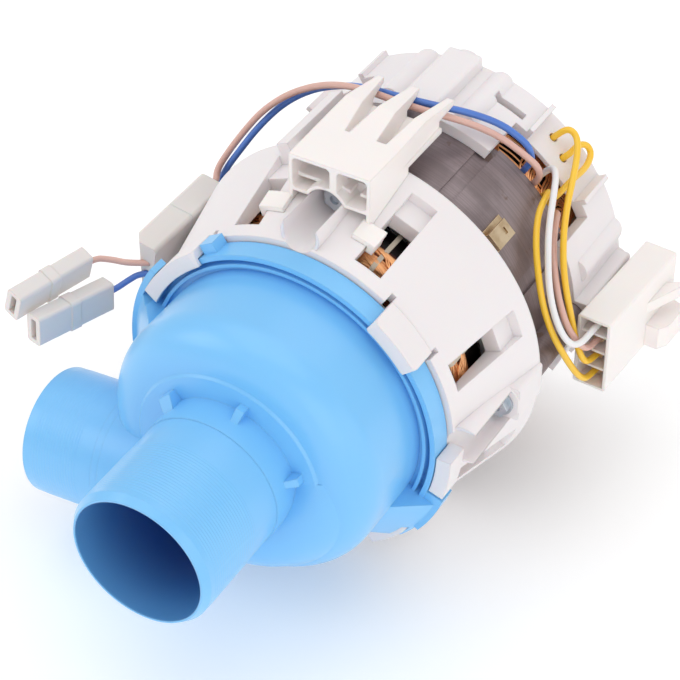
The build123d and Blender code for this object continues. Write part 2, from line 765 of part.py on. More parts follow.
with BuildPart() as rear_housing:
    turned([(0, rear_end), (rear_radius - end_shoulder, rear_end), (rear_radius, rear_end - end_shoulder),
            (rear_radius, rear_face), (rear_inner, rear_face), (rear_inner, rear_end - end_shoulder - 1),
            (rear_radius - end_shoulder - 2.2, rear_end - rear_plate), (0, rear_end - rear_plate)])
    add(rear_lobes.part)
    screw_pads(rear_face, lobe_rear - lobe_dome)
    ear_seats(rear_face - 1, core_rear + seat_gap)
    disc(insulator_outer + rest_gap, core_rear, core_rear + plate + rest_gap, mode=Mode.SUBTRACT)
    disc(rear_hub, rear_bearing_station, rear_end - 1, hole=rear_bearing_radius + seat_gap)
    for index in range(8):
        radial_block(45.0 * index, rear_hub - 0.5, rear_radius - end_shoulder, rear_end - rear_plate - 3,
                     rear_end - 1, 2.2)
    for index in range(screw_angles):
        middle = 45.0 + 90.0 * index
        sector(recess_radius, rear_radius + 4, middle, recess_half, coil_window_rear - 1, rear_end + 1,
               mode=Mode.SUBTRACT)
        for side in (-1, 1):
            radial_block(middle + side * (recess_half + 0.8), recess_radius - 1.5, edge_rib_reach,
                         coil_window_rear - 2, rear_end - end_shoulder + 1, edge_rib)
        sector(rear_inner - 5, pad_reach + 5, middle, coil_window_half, rear_face - 1, coil_window_rear,
               mode=Mode.SUBTRACT)
        sector(rear_inner - 3, pad_reach + 5, slot_middle + 90.0 * index, slot_half, slot_front, slot_rear,
               mode=Mode.SUBTRACT)
    rods(screw_circle, screw_angles, screw_radius + seat_gap, rear_face - 1, screw_bottom,
         mode=Mode.SUBTRACT)
    for lead_angle, lead_station in lead_holes:
        with BuildSketch(radial_plane(lead_angle, lead_station, rear_inner - 2)):
            Circle(lead_hole_radius)
        extrude(amount=8, mode=Mode.SUBTRACT)
rear_housing.part.label = "rear_housing"
export_step(rear_housing.part, "parts/rear_housing.step")

# Four long screws through the housings and the core's ears
head_height = 3.4
washer_height = 0.9
drive_radius = 1.6
with BuildPart() as housing_screws:
    rods(screw_circle, screw_angles, screw_head_radius + 0.6, screw_seat - washer_height,
         screw_seat - seat_gap)
    with BuildSketch(cross_plane(screw_seat - head_height)):
        with PolarLocations(screw_circle, screw_angles):
            RegularPolygon(screw_head_radius, 6)
    extrude(amount=washer_height / 2 - head_height)
    rods(screw_circle, screw_angles, screw_radius, screw_seat - washer_height, screw_end)
    rods(screw_circle, screw_angles, drive_radius, screw_seat - head_height - 0.1,
         screw_seat - head_height + 1.4,
         mode=Mode.SUBTRACT)
housing_screws.part.label = "housing_screws"
export_step(housing_screws.part, "parts/housing_screws.step")

# Brass earth tab on the core
tab_angle = 44.5
tab_base = (142.5, 156.0)
earth_thickness = 0.8
earth_foot = core_radius + seat_gap
with BuildPart() as earth_tab:
    radial_block(tab_angle, earth_foot, earth_foot + earth_thickness, *tab_base, 8.4)
    radial_block(tab_angle, earth_foot, earth_foot + 4.6, tab_base[0], tab_base[0] + earth_thickness, 6.3)
    radial_block(tab_angle, earth_foot + 3.8, earth_foot + 4.6, tab_base[0], tab_base[1] - 3, 6.3)
    radial_block(tab_angle, earth_foot + 3.4, earth_foot + 5.0, tab_base[0] + 6.5, tab_base[0] + 8.1, 2.4,
                 mode=Mode.SUBTRACT)
earth_tab.part.label = "earth_tab"
export_step(earth_tab.part, "parts/earth_tab.step")

# Lead bracket on top: two open cells, skirts that clip into the windows, and three fingers over the leads
bracket_left = -13.6
bracket_right = 16.0
bracket_front = 111.5
bracket_base = pad_reach + seat_gap
bracket_foot = 63.5
foot_rear = 121.0
bracket_floor = 2.0
bracket_roof = 77.2
roof_rear = 131.0
bracket_rear = 158.0
finger_tip = 169.0
finger_under = 71.2
finger_left = ((-13.6, 115.0), (-14.4, 152.0), (-14.2, 169.0), (-11.8, 169.0), (-3.2, 124.0), (-2.2, 115.0))
finger_middle = ((-2.6, 115.0), (-3.0, 124.0), (-1.5, 169.0), (1.5, 169.0), (7.0, 131.0), (7.0, 115.0))
finger_right = ((10.5, 115.0), (10.5, 131.0), (12.0, 169.0), (14.6, 169.0), (16.0, 131.0), (16.0, 115.0))
skirt_thickness = 1.4
skirt_rear = 136.0
cell_wall = 1.3
cell_middle = 2.6
cell_corner = 1.5
clip_front = 105.5
clip_rear = 112.5
clip_thickness = 1.8
clip_hook = 2.4
clips = ((70.8, 73.6, 4.0), (109.2, 106.0, 4.4))


def side_profile(points, left, right, mode=Mode.ADD):
    """Solid between two x places from its (y, z) outline."""
    with BuildSketch(Plane.YZ.offset(left)) as section:
        with BuildLine():
            Polyline(*points, close=True)
        make_face()
    extrude(section.sketch, amount=right - left, mode=mode)


def bracket_cell(bottom, top, rear, mode=Mode.SUBTRACT):
    """The two cells between two heights, from the bracket's front to a station."""
    inner_left = bracket_left + cell_wall
    inner_right = bracket_right - cell_wall
    with BuildSketch(cross_plane(bracket_front - 1)) as section:
        for low, high in ((inner_left, cell_middle - cell_wall), (cell_middle + cell_wall, inner_right)):
            with Locations(((low + high) / 2, (bottom + top) / 2)):
                RectangleRounded(high - low, top - bottom, cell_corner)
    extrude(section.sketch, amount=bracket_front - 1 - rear, mode=mode)


with BuildPart() as fingers:
    with BuildSketch(Plane.XY.offset(bracket_base)):
        for outline in (finger_left, finger_middle, finger_right):
            with BuildLine():
                Polyline(*outline, close=True)
            make_face()
    extrude(amount=bracket_roof - bracket_base)
    side_profile([(112.0, bracket_base), (112.0, bracket_roof), (148.0, bracket_roof),
                  (finger_tip, finger_under + 1.7), (finger_tip, finger_under),
                  (bracket_rear, finger_under),
                  (bracket_rear, bracket_base)], -20.0, 20.0, Mode.INTERSECT)

arch_radius = scoop_radius + scoop_wall + loose_gap
with BuildPart() as lead_bracket:
    side_profile([(bracket_front, bracket_foot), (bracket_front, bracket_roof), (roof_rear, bracket_roof),
                  (roof_rear, bracket_base), (foot_rear, bracket_base), (foot_rear, bracket_foot)],
                 bracket_left, bracket_right)
    side_profile([(roof_rear - 1, bracket_base), (roof_rear - 1, bracket_base + bracket_floor),
                  (bracket_rear, bracket_base + bracket_floor), (bracket_rear, bracket_base)],
                 bracket_left, bracket_right)
    # roof that falls to the floor between the left and middle fingers
    side_profile([(roof_rear - 6, bracket_base), (roof_rear - 6, bracket_roof),
                  (bracket_rear - 6, bracket_base + bracket_floor), (bracket_rear - 6, bracket_base)],
                 bracket_left, cell_middle)
    bracket_cell(bracket_foot + cell_wall, bracket_roof - 6, foot_rear - cell_wall)
    # arch over the screw scoop
    with BuildSketch(cross_plane(bracket_front)):
        with Locations((0, screw_circle)):
            Circle(arch_radius + cell_wall)
        with Locations((0, bracket_foot / 2)):
            Rectangle(80, bracket_foot, mode=Mode.SUBTRACT)
    extrude(amount=bracket_front - foot_rear)
    rods(screw_circle, 1, arch_radius, bracket_front - 1, foot_rear, first=90.0, mode=Mode.SUBTRACT)
    # skirts down to the housing's wall
    for left in (bracket_left, bracket_right - skirt_thickness):
        side_profile([(bracket_front, front_small), (bracket_front, bracket_base + 1),
                      (skirt_rear, bracket_base + 1), (skirt_rear, front_small)], left,
                      left + skirt_thickness)
    for hook, middle, half in clips:
        wedge([(front_small, clip_front), (front_radius(clip_front) + clip_thickness, clip_front),
               (front_radius(clip_rear) + clip_thickness, clip_rear), (front_small, clip_rear)], middle,
               half)
    turned([(0, 100.0), (front_radius(100.0) + loose_gap, 100.0),
            (front_radius(front_rear) + loose_gap, front_rear), (0, front_rear)], mode=Mode.SUBTRACT)
    for hook, middle, half in clips:
        radial_block(hook, front_small + 0.4, front_radius(clip_front) + clip_thickness, clip_front,
                     clip_rear - 1, clip_hook)
    add(fingers.part)
    bracket_cell(bracket_base + cell_wall, bracket_roof - cell_wall, roof_rear)
lead_bracket.part.label = "lead_bracket"
export_step(lead_bracket.part, "parts/lead_bracket.step")

# Inline connector at the left, a plug from the rear mated in a socket from the front
inline_width = 10.4
inline_height = 17.0
inline_lean = 10.0
inline_rear = 151.2
inline_joint = 130.6
inline_front = 108.0
inline_wall = 1.4
nose_length = 9.0
pin_spread = 4.2
pin_radius = 0.8
crimp_station = inline_joint + 12
inline_reach = front_large + rest_gap + inline_width / 2 + 0.4
lean = radians(inline_lean)
inline_out = Vector(-cos(lean), 0, sin(lean))
inline_up = Vector(sin(lean), 0, cos(lean))
inline_centre = inline_out * inline_reach


def inline_plane(station, shift=0.0):
    """Plane across the inline connector, local x outward and local y up."""
    origin = inline_centre + inline_up * shift + Vector(0, station, 0)
    return Plane(origin=origin, x_dir=inline_out, z_dir=inline_out.cross(inline_up))


def inline_block(width, height, corner, start, end, mode=Mode.ADD):
    """Rounded block of the inline connector between two stations."""
    with BuildSketch(inline_plane(start)) as section:
        RectangleRounded(width, height, corner)
    extrude(section.sketch, amount=(end - start) * inline_plane(start).z_dir.Y, mode=mode)


def inline_rods(radius, start, end, mode=Mode.ADD):
    """Pair of rods or holes along the inline connector."""
    with BuildSketch(inline_plane(start)) as section:
        with Locations((0, pin_spread), (0, -pin_spread)):
            Circle(radius)
    extrude(section.sketch, amount=(end - start) * inline_plane(start).z_dir.Y, mode=mode)


wire_radius = 1.2
with BuildPart() as inline_plug:
    inline_block(inline_width, inline_height, 1.6, inline_joint + seat_gap, inline_rear)
    inline_block(inline_width - 2 * inline_wall - 2 * loose_gap,
                 inline_height - 2 * inline_wall - 2 * loose_gap, 1.0,
                 inline_joint - nose_length, inline_joint + 1)
    inline_rods(pin_radius + seat_gap, inline_joint - nose_length - 1, crimp_station + 1,
                mode=Mode.SUBTRACT)
    inline_rods(wire_radius + seat_gap, crimp_station, inline_rear + 1, mode=Mode.SUBTRACT)
inline_plug.part.label = "inline_plug"
export_step(inline_plug.part, "parts/inline_plug.step")

pink_exit = Vector(-66.5, 110.2, 13.0)
blue_exit = Vector(-66.0, 110.2, 8.9)
exit_direction = Vector(-0.81, -0.585, 0)
tail_radius = 1.1
with BuildPart() as inline_socket:
    inline_block(inline_width, inline_height, 1.6, inline_front, inline_joint)
    inline_block(inline_width - 2 * inline_wall, inline_height - 2 * inline_wall, 1.1,
                 inline_joint - nose_length - 0.4, inline_joint + 1, mode=Mode.SUBTRACT)
    inline_rods(pin_radius + seat_gap, inline_joint - nose_length - 6, inline_joint, mode=Mode.SUBTRACT)
    # slanted front corner with the two tails' holes
    with BuildSketch(Plane(origin=(-71.0, 107.4, 0), x_dir=(0, 0, 1), z_dir=exit_direction)):
        Rectangle(80, 60)
    extrude(amount=20, mode=Mode.SUBTRACT)
    for exit_point in (pink_exit, blue_exit):
        with BuildSketch(Plane(origin=exit_point, x_dir=(0, 0, 1), z_dir=exit_direction)):
            Circle(tail_radius + seat_gap)
        extrude(amount=12, mode=Mode.SUBTRACT)
inline_socket.part.label = "inline_socket"
export_step(inline_socket.part, "parts/inline_socket.step")

with BuildPart() as inline_pins:
    inline_rods(pin_radius, inline_joint - nose_length - 5, crimp_station)
inline_pins.part.label = "inline_pins"
export_step(inline_pins.part, "parts/inline_pins.step")

# Leads: hand-picked routes through the air and the harness
harness_radius = 1.15
blue_route = [(33.7, 183.0, 42.2), (37.6, 182.8, 47.8), (36.8, 181.7, 54.0), (33.4, 180.8, 57.6),
              (26.4, 179.5, 61.6), (17.5, 174.7, 65.6), (9.0, 168.6, 68.9), (-1.5, 166.3, 69.5),
              (-12.0, 167.0, 68.4), (-23.0, 170.5, 64.7), (-34.5, 174.4, 58.6), (-45.3, 175.3, 52.3),
              (-54.4, 173.0, 44.9), (-61.0, 167.2, 36.2), (-65.6, 162.0, 27.6), (-70.8, 160.6, 18.6),
              (-72.6, 157.2, 11.4)]
pink_route = [(37.0, 182.4, 38.3), (41.2, 181.4, 42.4), (41.6, 179.8, 48.8), (36.6, 178.4, 53.2),
              (28.7, 175.9, 59.2), (19.4, 171.4, 64.1), (11.1, 165.6, 68.1), (2.0, 162.9, 69.6),
              (-8.5, 163.0, 69.9), (-19.0, 166.2, 67.6), (-30.0, 170.6, 62.8), (-41.0, 173.0, 57.2),
              (-51.5, 171.6, 50.8), (-59.8, 168.8, 42.8), (-65.2, 165.4, 34.6), (-69.6, 161.8, 26.6),
              (-72.6, 157.8, 19.6)]


def cord_solid(route, radius, name):
    """Round cord along straight runs joined by tangent arcs as large as the runs allow."""
    points = [Vector(*place) for place in route]
    runs = [after - before for before, after in zip(points, points[1:])]
    radii = []
    for before, after in zip(runs, runs[1:]):
        turn = before.get_angle(after)
        radii.append(0.45 * min(before.length, after.length) / tan(radians(turn / 2)))
    with BuildPart() as cord:
        with BuildLine() as path:
            FilletPolyline(*points, radius=radii)
        with BuildSketch(Plane(origin=points[0], z_dir=runs[0])):
            Circle(radius)
        sweep()
    length = sum(edge.length for edge in path.line.edges())
    print(name, "length", round(length, 1), "radii", [round(value, 1) for value in radii],
          "volume over section times length", round(cord.part.volume / (length * pi * radius ** 2), 4))
    cord.part.label = name
    export_step(cord.part, "parts/" + name + ".step")
    return cord.part


def entry(shift, station):
    """Point on the inline connector's upper or lower wire hole."""
    return inline_centre + inline_up * shift + Vector(0, station, 0)


plug_floor = crimp_station + seat_gap
blue_lead = cord_solid(blue_route + [entry(-pin_spread, inline_rear + 3), entry(-pin_spread, plug_floor)],
                       wire_radius, "blue_lead")
pink_lead = cord_solid(pink_route + [entry(pin_spread, inline_rear + 3), entry(pin_spread, plug_floor)],
                       wire_radius, "pink_lead")

# Two tails from the inline socket to push-on receptacles
pink_rear = Vector(-85.0, 95.0, 16.0)
pink_axis = Vector(-0.218, -0.976, 0.017)
pink_up = Vector(0.3, 0, 0.95)
blue_rear = Vector(-76.5, 95.0, 6.0)
blue_axis = Vector(-0.25, -0.964, 0.09)
blue_up = Vector(0.0, 0.09, 1.0)
tail_depth = 12.5
pink_tail_route = [pink_exit, pink_exit + exit_direction * 8.6, (-80.0, 102.0, 14.6),
                   pink_rear - pink_axis * 3]
pink_tail = cord_solid(pink_tail_route + [pink_rear + pink_axis * tail_depth], tail_radius, "pink_tail")
blue_tail_route = [blue_exit, blue_exit + exit_direction * 6.0, (-73.4, 103.0, 7.4),
                   blue_rear - blue_axis * 3]
blue_tail = cord_solid(blue_tail_route + [blue_rear + blue_axis * tail_depth], tail_radius, "blue_tail")

receptacle_length = 32.0
receptacle_width = 11.0
receptacle_depth = 6.5
terminal_width = 7.6
terminal_depth = 2.2
tab_width = 6.3
tab_gap = 0.9


def receptacle_plane(origin, axis, up, distance):
    """Plane across a receptacle at a distance along its axis, local y along its wide side."""
    return Plane(origin=origin + axis * distance, x_dir=axis.cross(up), z_dir=axis)


def receptacle(origin, axis, up, name):
    """Insulating housing of a push-on terminal, open at its tip."""
    with BuildPart() as housing:
        with BuildSketch(receptacle_plane(origin, axis, up, 0.0)):
            RectangleRounded(receptacle_depth, receptacle_width, 1.2)
        extrude(amount=receptacle_length)
        with BuildSketch(receptacle_plane(origin, axis, up, receptacle_length * 0.45)):
            RectangleRounded(receptacle_depth + 0.8, receptacle_width + 0.6, 1.4)
        extrude(amount=4)
        with BuildSketch(receptacle_plane(origin, axis, up, tail_depth - 1)):
            Rectangle(terminal_depth + 2 * loose_gap, terminal_width + 2 * loose_gap)
        extrude(amount=receptacle_length, mode=Mode.SUBTRACT)
        with BuildSketch(receptacle_plane(origin, axis, up, -1)):
            Circle(tail_radius + seat_gap)
        extrude(amount=receptacle_length / 2, mode=Mode.SUBTRACT)
    housing.part.label = name
    export_step(housing.part, "parts/" + name + ".step")
    return housing.part


def terminal(origin, axis, up, name):
    """Brass push-on terminal with its rolled sides round a tab-wide slot."""
    start = tail_depth + seat_gap
    with BuildPart() as brass:
        with BuildSketch(receptacle_plane(origin, axis, up, start)):
            Rectangle(terminal_depth, terminal_width)
        extrude(amount=receptacle_length - start - 3)
        with BuildSketch(receptacle_plane(origin, axis, up, start + 9)):
            Rectangle(tab_gap, tab_width + 0.2)
        extrude(amount=receptacle_length, mode=Mode.SUBTRACT)
    brass.part.label = name
    export_step(brass.part, "parts/" + name + ".step")
    return brass.part


pink_receptacle = receptacle(pink_rear, pink_axis, pink_up, "pink_receptacle")
blue_receptacle = receptacle(blue_rear, blue_axis, blue_up, "blue_receptacle")
pink_terminal = terminal(pink_rear, pink_axis, pink_up, "pink_terminal")
blue_terminal = terminal(blue_rear, blue_axis, blue_up, "blue_terminal")

# Four-way connector block at the right, wire side to the front and mating side to the rear
block_front = 162.0
block_length = 47.5
block_width = 12.2
block_height = 29.0
block_place = (73.4, -5.0)
block_yaw = 3.2
chamber_pitch = 7.0
chamber_size = 6.1
chamber_width = 10.0
mouth_depth = 1.8
chamber_depth = 20.0
mating_wall = 1.4
mating_depth = 16.0
blade_thickness = 0.8
yaw = radians(block_yaw)
block_axis = Vector(sin(yaw), cos(yaw), 0)
block_across = Vector(cos(yaw), -sin(yaw), 0)
chamber_shifts = [chamber_pitch * (place - 1.5) for place in range(4)]


def block_plane(distance):
    """Plane across the connector block at a distance from its wire side, local x upward, local y outward."""
    origin = Vector(block_place[0], block_front, block_place[1]) + block_axis * distance
    return Plane(origin=origin, x_dir=(0, 0, 1), z_dir=block_axis)


def block_level(height):
    """Level plane at a height over the block's middle, local x outward and local y to the rear."""
    origin = (block_place[0], block_front, block_place[1] + height)
    return Plane(origin=origin, x_dir=block_across, z_dir=(0, 0, 1))


with BuildPart() as connector_block:
    with BuildSketch(block_plane(0.0)):
        RectangleRounded(block_height, block_width, 0.8)
    extrude(amount=block_length)
    # latch wing and key lump on the outer side
    with BuildSketch(block_level(1.0)):
        with BuildLine():
            Polyline((block_width / 2 - 0.2, 27.0), (block_width / 2 + 6.0, 43.5),
                     (block_width / 2 + 6.0, 46.0),
                     (block_width / 2 - 0.2, 41.0), close=True)
        make_face()
    extrude(amount=4.6)
    with BuildSketch(block_level(-13.0)):
        with BuildLine():
            Polyline((block_width / 2 - 0.2, 28.0), (block_width / 2 + 5.0, 28.0),
                     (block_width / 2 + 7.0, 32.0),
                     (block_width / 2 + 7.0, 44.0), (block_width / 2 - 0.2, 46.0), close=True)
        make_face()
    extrude(amount=9)
    # wire side: four chambers whose shelves are set back from the mouth
    with BuildSketch(block_plane(-1.0)):
        Rectangle(3 * chamber_pitch + chamber_size, chamber_width)
    extrude(amount=mouth_depth + 1, mode=Mode.SUBTRACT)
    with BuildSketch(block_plane(mouth_depth - 1)):
        for shift in chamber_shifts:
            with Locations((shift, 0)):
                Rectangle(chamber_size, chamber_width)
    extrude(amount=chamber_depth - mouth_depth + 1, mode=Mode.SUBTRACT)
    with BuildSketch(block_plane(block_length - mating_depth)):
        Rectangle(block_height - 2 * mating_wall, block_width - 2 * mating_wall)
    extrude(amount=mating_depth + 1, mode=Mode.SUBTRACT)
    with BuildSketch(block_plane(chamber_depth - 1)):
        for shift in chamber_shifts:
            with Locations((shift, 0)):
                Rectangle(blade_thickness + 2 * seat_gap, tab_width + 2 * seat_gap)
    extrude(amount=block_length, mode=Mode.SUBTRACT)
connector_block.part.label = "connector_block"
export_step(connector_block.part, "parts/connector_block.step")

barrel_start = 5.0
with BuildPart() as connector_terminals:
    with BuildSketch(block_plane(barrel_start)):
        for shift in chamber_shifts:
            with Locations((shift, 0)):
                Circle(2.0)
    extrude(amount=9)
    with BuildSketch(block_plane(barrel_start + 4)):
        for shift in chamber_shifts:
            with Locations((shift, 0)):
                Rectangle(blade_thickness, tab_width)
    extrude(amount=block_length - barrel_start - 4 - 3)
    with BuildSketch(block_plane(barrel_start - 1)):
        for shift in chamber_shifts:
            with Locations((shift, 0)):
                Circle(harness_radius + seat_gap)
    extrude(amount=4, mode=Mode.SUBTRACT)
connector_terminals.part.label = "connector_terminals"
export_step(connector_terminals.part, "parts/connector_terminals.step")


def chamber(index, distance):
    """Point on the middle line of a chamber, counted from the bottom."""
    plane = block_plane(distance)
    return plane.origin + Vector(0, 0, chamber_shifts[index])


crimp = barrel_start + 3 - seat_gap
white_route = [(38.0, 187.5, 39.0), (42.2, 188.0, 44.8), (46.2, 183.6, 46.2), (49.6, 175.0, 44.2),
               (53.1, 165.0, 38.8),
               (57.2, 157.0, 31.4), (61.3, 151.2, 23.0), (66.0, 148.4, 14.2), (70.4, 148.8, 7.6),
               (72.6, 153.2, 4.8)]
white_lead = cord_solid(white_route + [chamber(3, -1), chamber(3, crimp)], harness_radius, "white_lead")
front_route = [(40.6, 184.0, 33.4), (44.6, 182.6, 38.8), (46.6, 176.4, 42.0), (47.6, 168.0, 40.4),
               (51.0, 160.0, 35.2),
               (55.8, 153.0, 28.4), (60.4, 148.6, 19.6), (64.6, 147.8, 10.4), (68.2, 150.0, 1.6),
               (70.6, 153.4, -6.4),
               (72.4, 157.0, -12.6)]
yellow_lead_front = cord_solid(front_route + [chamber(0, -0.6), chamber(0, crimp)], harness_radius,
                               "yellow_lead_front")
rear_route = [(34.3, 200.5, 43.9), (38.4, 200.5, 49.2), (42.0, 201.0, 52.2), (45.4, 200.6, 50.0),
              (48.2, 195.2, 46.8),
              (50.8, 187.0, 43.2), (53.4, 178.0, 39.6), (56.6, 169.4, 34.0), (60.0, 163.4, 26.6),
              (63.4, 160.0, 18.6), (66.4, 158.6, 10.6), (68.8, 158.0, 2.4), (72.0, 157.6, -5.0)]
yellow_lead_rear = cord_solid(rear_route + [chamber(1, -0.6), chamber(1, crimp)], harness_radius,
                              "yellow_lead_rear")
short_route = [(44.4, 182.6, 28.9), (48.6, 182.2, 32.4), (50.9, 175.2, 33.4), (54.0, 167.6, 29.8),
               (58.6, 160.2, 24.2), (62.8, 156.0, 17.4), (66.8, 154.0, 10.6), (69.9, 155.0, 5.0),
               (72.6, 157.4, 0.2)]
short_pink_lead = cord_solid(short_route + [chamber(2, -0.6), chamber(2, crimp)], harness_radius,
                             "short_pink_lead")
loop_route = [(42.6, 183.0, 31.0), (46.8, 184.0, 36.6), (48.8, 190.6, 39.8), (49.2, 197.4, 39.0),
              (49.0, 203.2, 38.8),
              (48.0, 207.4, 40.6), (45.8, 207.2, 43.4), (44.2, 203.0, 44.6), (44.3, 198.2, 44.3),
              (40.8, 197.5, 40.8)]
yellow_loop = cord_solid(loop_route, harness_radius, "yellow_loop")
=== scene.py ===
# %% [markdown]
# A circulation pump with its motor, as a spare part lies on a table. A blue casing with two hose spigots holds the
# impeller, and two white housings clamp the steel stack of the stator, with copper coils behind their windows.
# The rigid pieces come from a CAD model that is loaded as a fixed frame, in metres. This script gives each piece
# its finish and adds what is too fine for the model: copper strands, hose rings and smooth insulated leads.

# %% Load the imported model
import json

import bpy
import numpy as np
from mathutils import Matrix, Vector


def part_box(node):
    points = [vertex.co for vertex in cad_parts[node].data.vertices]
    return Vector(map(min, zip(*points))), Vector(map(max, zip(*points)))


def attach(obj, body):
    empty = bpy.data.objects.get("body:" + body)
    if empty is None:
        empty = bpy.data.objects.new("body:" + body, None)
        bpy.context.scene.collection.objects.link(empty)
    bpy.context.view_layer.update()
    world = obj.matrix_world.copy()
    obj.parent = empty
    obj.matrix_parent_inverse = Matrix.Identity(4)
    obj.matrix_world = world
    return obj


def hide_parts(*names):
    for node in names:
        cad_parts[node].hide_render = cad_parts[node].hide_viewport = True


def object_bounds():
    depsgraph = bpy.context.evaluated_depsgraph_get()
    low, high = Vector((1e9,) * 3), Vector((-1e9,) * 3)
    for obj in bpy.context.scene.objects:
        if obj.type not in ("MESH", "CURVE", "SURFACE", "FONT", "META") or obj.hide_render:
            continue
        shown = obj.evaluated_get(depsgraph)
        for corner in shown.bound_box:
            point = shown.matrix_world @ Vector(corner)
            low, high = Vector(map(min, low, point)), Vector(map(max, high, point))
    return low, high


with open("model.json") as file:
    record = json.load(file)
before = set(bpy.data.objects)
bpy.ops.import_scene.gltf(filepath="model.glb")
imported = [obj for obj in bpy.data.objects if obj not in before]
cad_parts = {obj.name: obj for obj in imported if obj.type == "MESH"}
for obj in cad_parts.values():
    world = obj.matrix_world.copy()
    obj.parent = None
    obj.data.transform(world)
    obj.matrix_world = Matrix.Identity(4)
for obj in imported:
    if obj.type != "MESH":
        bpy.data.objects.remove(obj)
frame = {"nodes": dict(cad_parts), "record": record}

scene = bpy.context.scene
nodes = frame["nodes"]
cad_low, cad_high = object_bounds()
print("pieces in the model:", len(nodes))

# %% [markdown]
# The camera comes first, because every choice of detail depends on what it sees. It was found by fitting the
# photograph's round edges, so it has the same place, direction and focal length. A focal length in picture widths
# turns into millimetres by the width of the sensor. The front of the pump points down and to the left.

# %% Camera
CAMERA_PLACE = Vector((0.2981, -0.3853, 0.4992))
CAMERA_LOOK = Vector((-0.3868, 0.6560, -0.6481))
PICTURE_WIDTH = 680
FOCAL_PIXELS = 2300
SENSOR_WIDTH = 36.0

lens = bpy.data.cameras.new("camera")
lens.sensor_width = SENSOR_WIDTH
lens.lens = FOCAL_PIXELS / PICTURE_WIDTH * SENSOR_WIDTH
lens.clip_start = 0.01
camera = bpy.data.objects.new("camera", lens)
camera.location = CAMERA_PLACE
camera.rotation_mode = "QUATERNION"
camera.rotation_quaternion = CAMERA_LOOK.to_track_quat("-Z", "Y")
scene.collection.objects.link(camera)
scene.camera = camera
print("focal length in millimetres:", round(lens.lens, 1))

# %% [markdown]
# Small parts are photographed on lit white paper under large soft lamps. A pale floor stands in for the paper, with
# a little light of its own. Its height is the lowest point of the model. One large lamp above gives the soft shadow
# under the pump, one at the left draws the long highlights along the tubes, and the others fill the shadows.

# %% Floor and lamps
FLOOR_SIZE = 8.0
PAPER_GLOW = 0.12


def lit_paper(name, colour, roughness, glow):
    """White paper that light also comes through from below, which only the floor uses."""
    made = bpy.data.materials.new(name)
    made.use_nodes = True
    shader = made.node_tree.nodes["Principled BSDF"]
    shader.inputs["Base Color"].default_value = (*colour, 1.0)
    shader.inputs["Roughness"].default_value = roughness
    shader.inputs["Emission Color"].default_value = (1.0, 1.0, 1.0, 1.0)
    shader.inputs["Emission Strength"].default_value = glow
    return made


def lamp(name, place, target, size, power, colour=(1.0, 1.0, 1.0)):
    """Square lamp at a place, turned to a target, both in metres."""
    light = bpy.data.lights.new(name, "AREA")
    light.size = size
    light.energy = power
    light.color = colour
    holder = bpy.data.objects.new(name, light)
    holder.location = place
    holder.rotation_mode = "QUATERNION"
    holder.rotation_quaternion = (Vector(target) - Vector(place)).to_track_quat("-Z", "Y")
    scene.collection.objects.link(holder)
    return holder


floor_corners = np.array([(-1, -1, 0), (1, -1, 0), (1, 1, 0), (-1, 1, 0)], float) * FLOOR_SIZE / 2
floor_corners[:, 2] = cad_low[2]
floor_mesh = bpy.data.meshes.new("floor")
floor_mesh.from_pydata(floor_corners.tolist(), [], [(0, 1, 2, 3)])
floor = bpy.data.objects.new("floor", floor_mesh)
floor.data.materials.append(lit_paper("paper", (0.97, 0.97, 0.97), 0.9, PAPER_GLOW))
scene.collection.objects.link(floor)

MIDDLE = (0.0, 0.1, 0.0)
lamp("overhead_lamp", (-0.1, 0.05, 1.3), MIDDLE, 1.4, 4.7)
lamp("left_lamp", (-1.1, -0.7, 0.8), MIDDLE, 0.8, 3.1)
lamp("front_lamp", (0.9, -0.9, 0.35), MIDDLE, 1.0, 2.9)
lamp("right_lamp", (1.2, 0.0, 0.15), MIDDLE, 0.9, 1.6)
lamp("back_lamp", (0.2, 1.2, 0.9), MIDDLE, 1.0, 1.6)

world = bpy.data.worlds.new("studio")
world.use_nodes = True
world.node_tree.nodes["Background"].inputs["Color"].default_value = (1.0, 1.0, 1.0, 1.0)
world.node_tree.nodes["Background"].inputs["Strength"].default_value = 0.71
scene.world = world
scene.view_settings.view_transform = "Standard"
scene.view_settings.look = "None"

# %% [markdown]
# A finish is a small network of shader nodes, and networks are hard to read when they are wired by hand. This
# class wraps one output of a node. Plain arithmetic on it adds Math nodes, so a mask reads like a formula, and
# one method adds any other kind of node. Positions are Object coordinates, which stay with the piece.

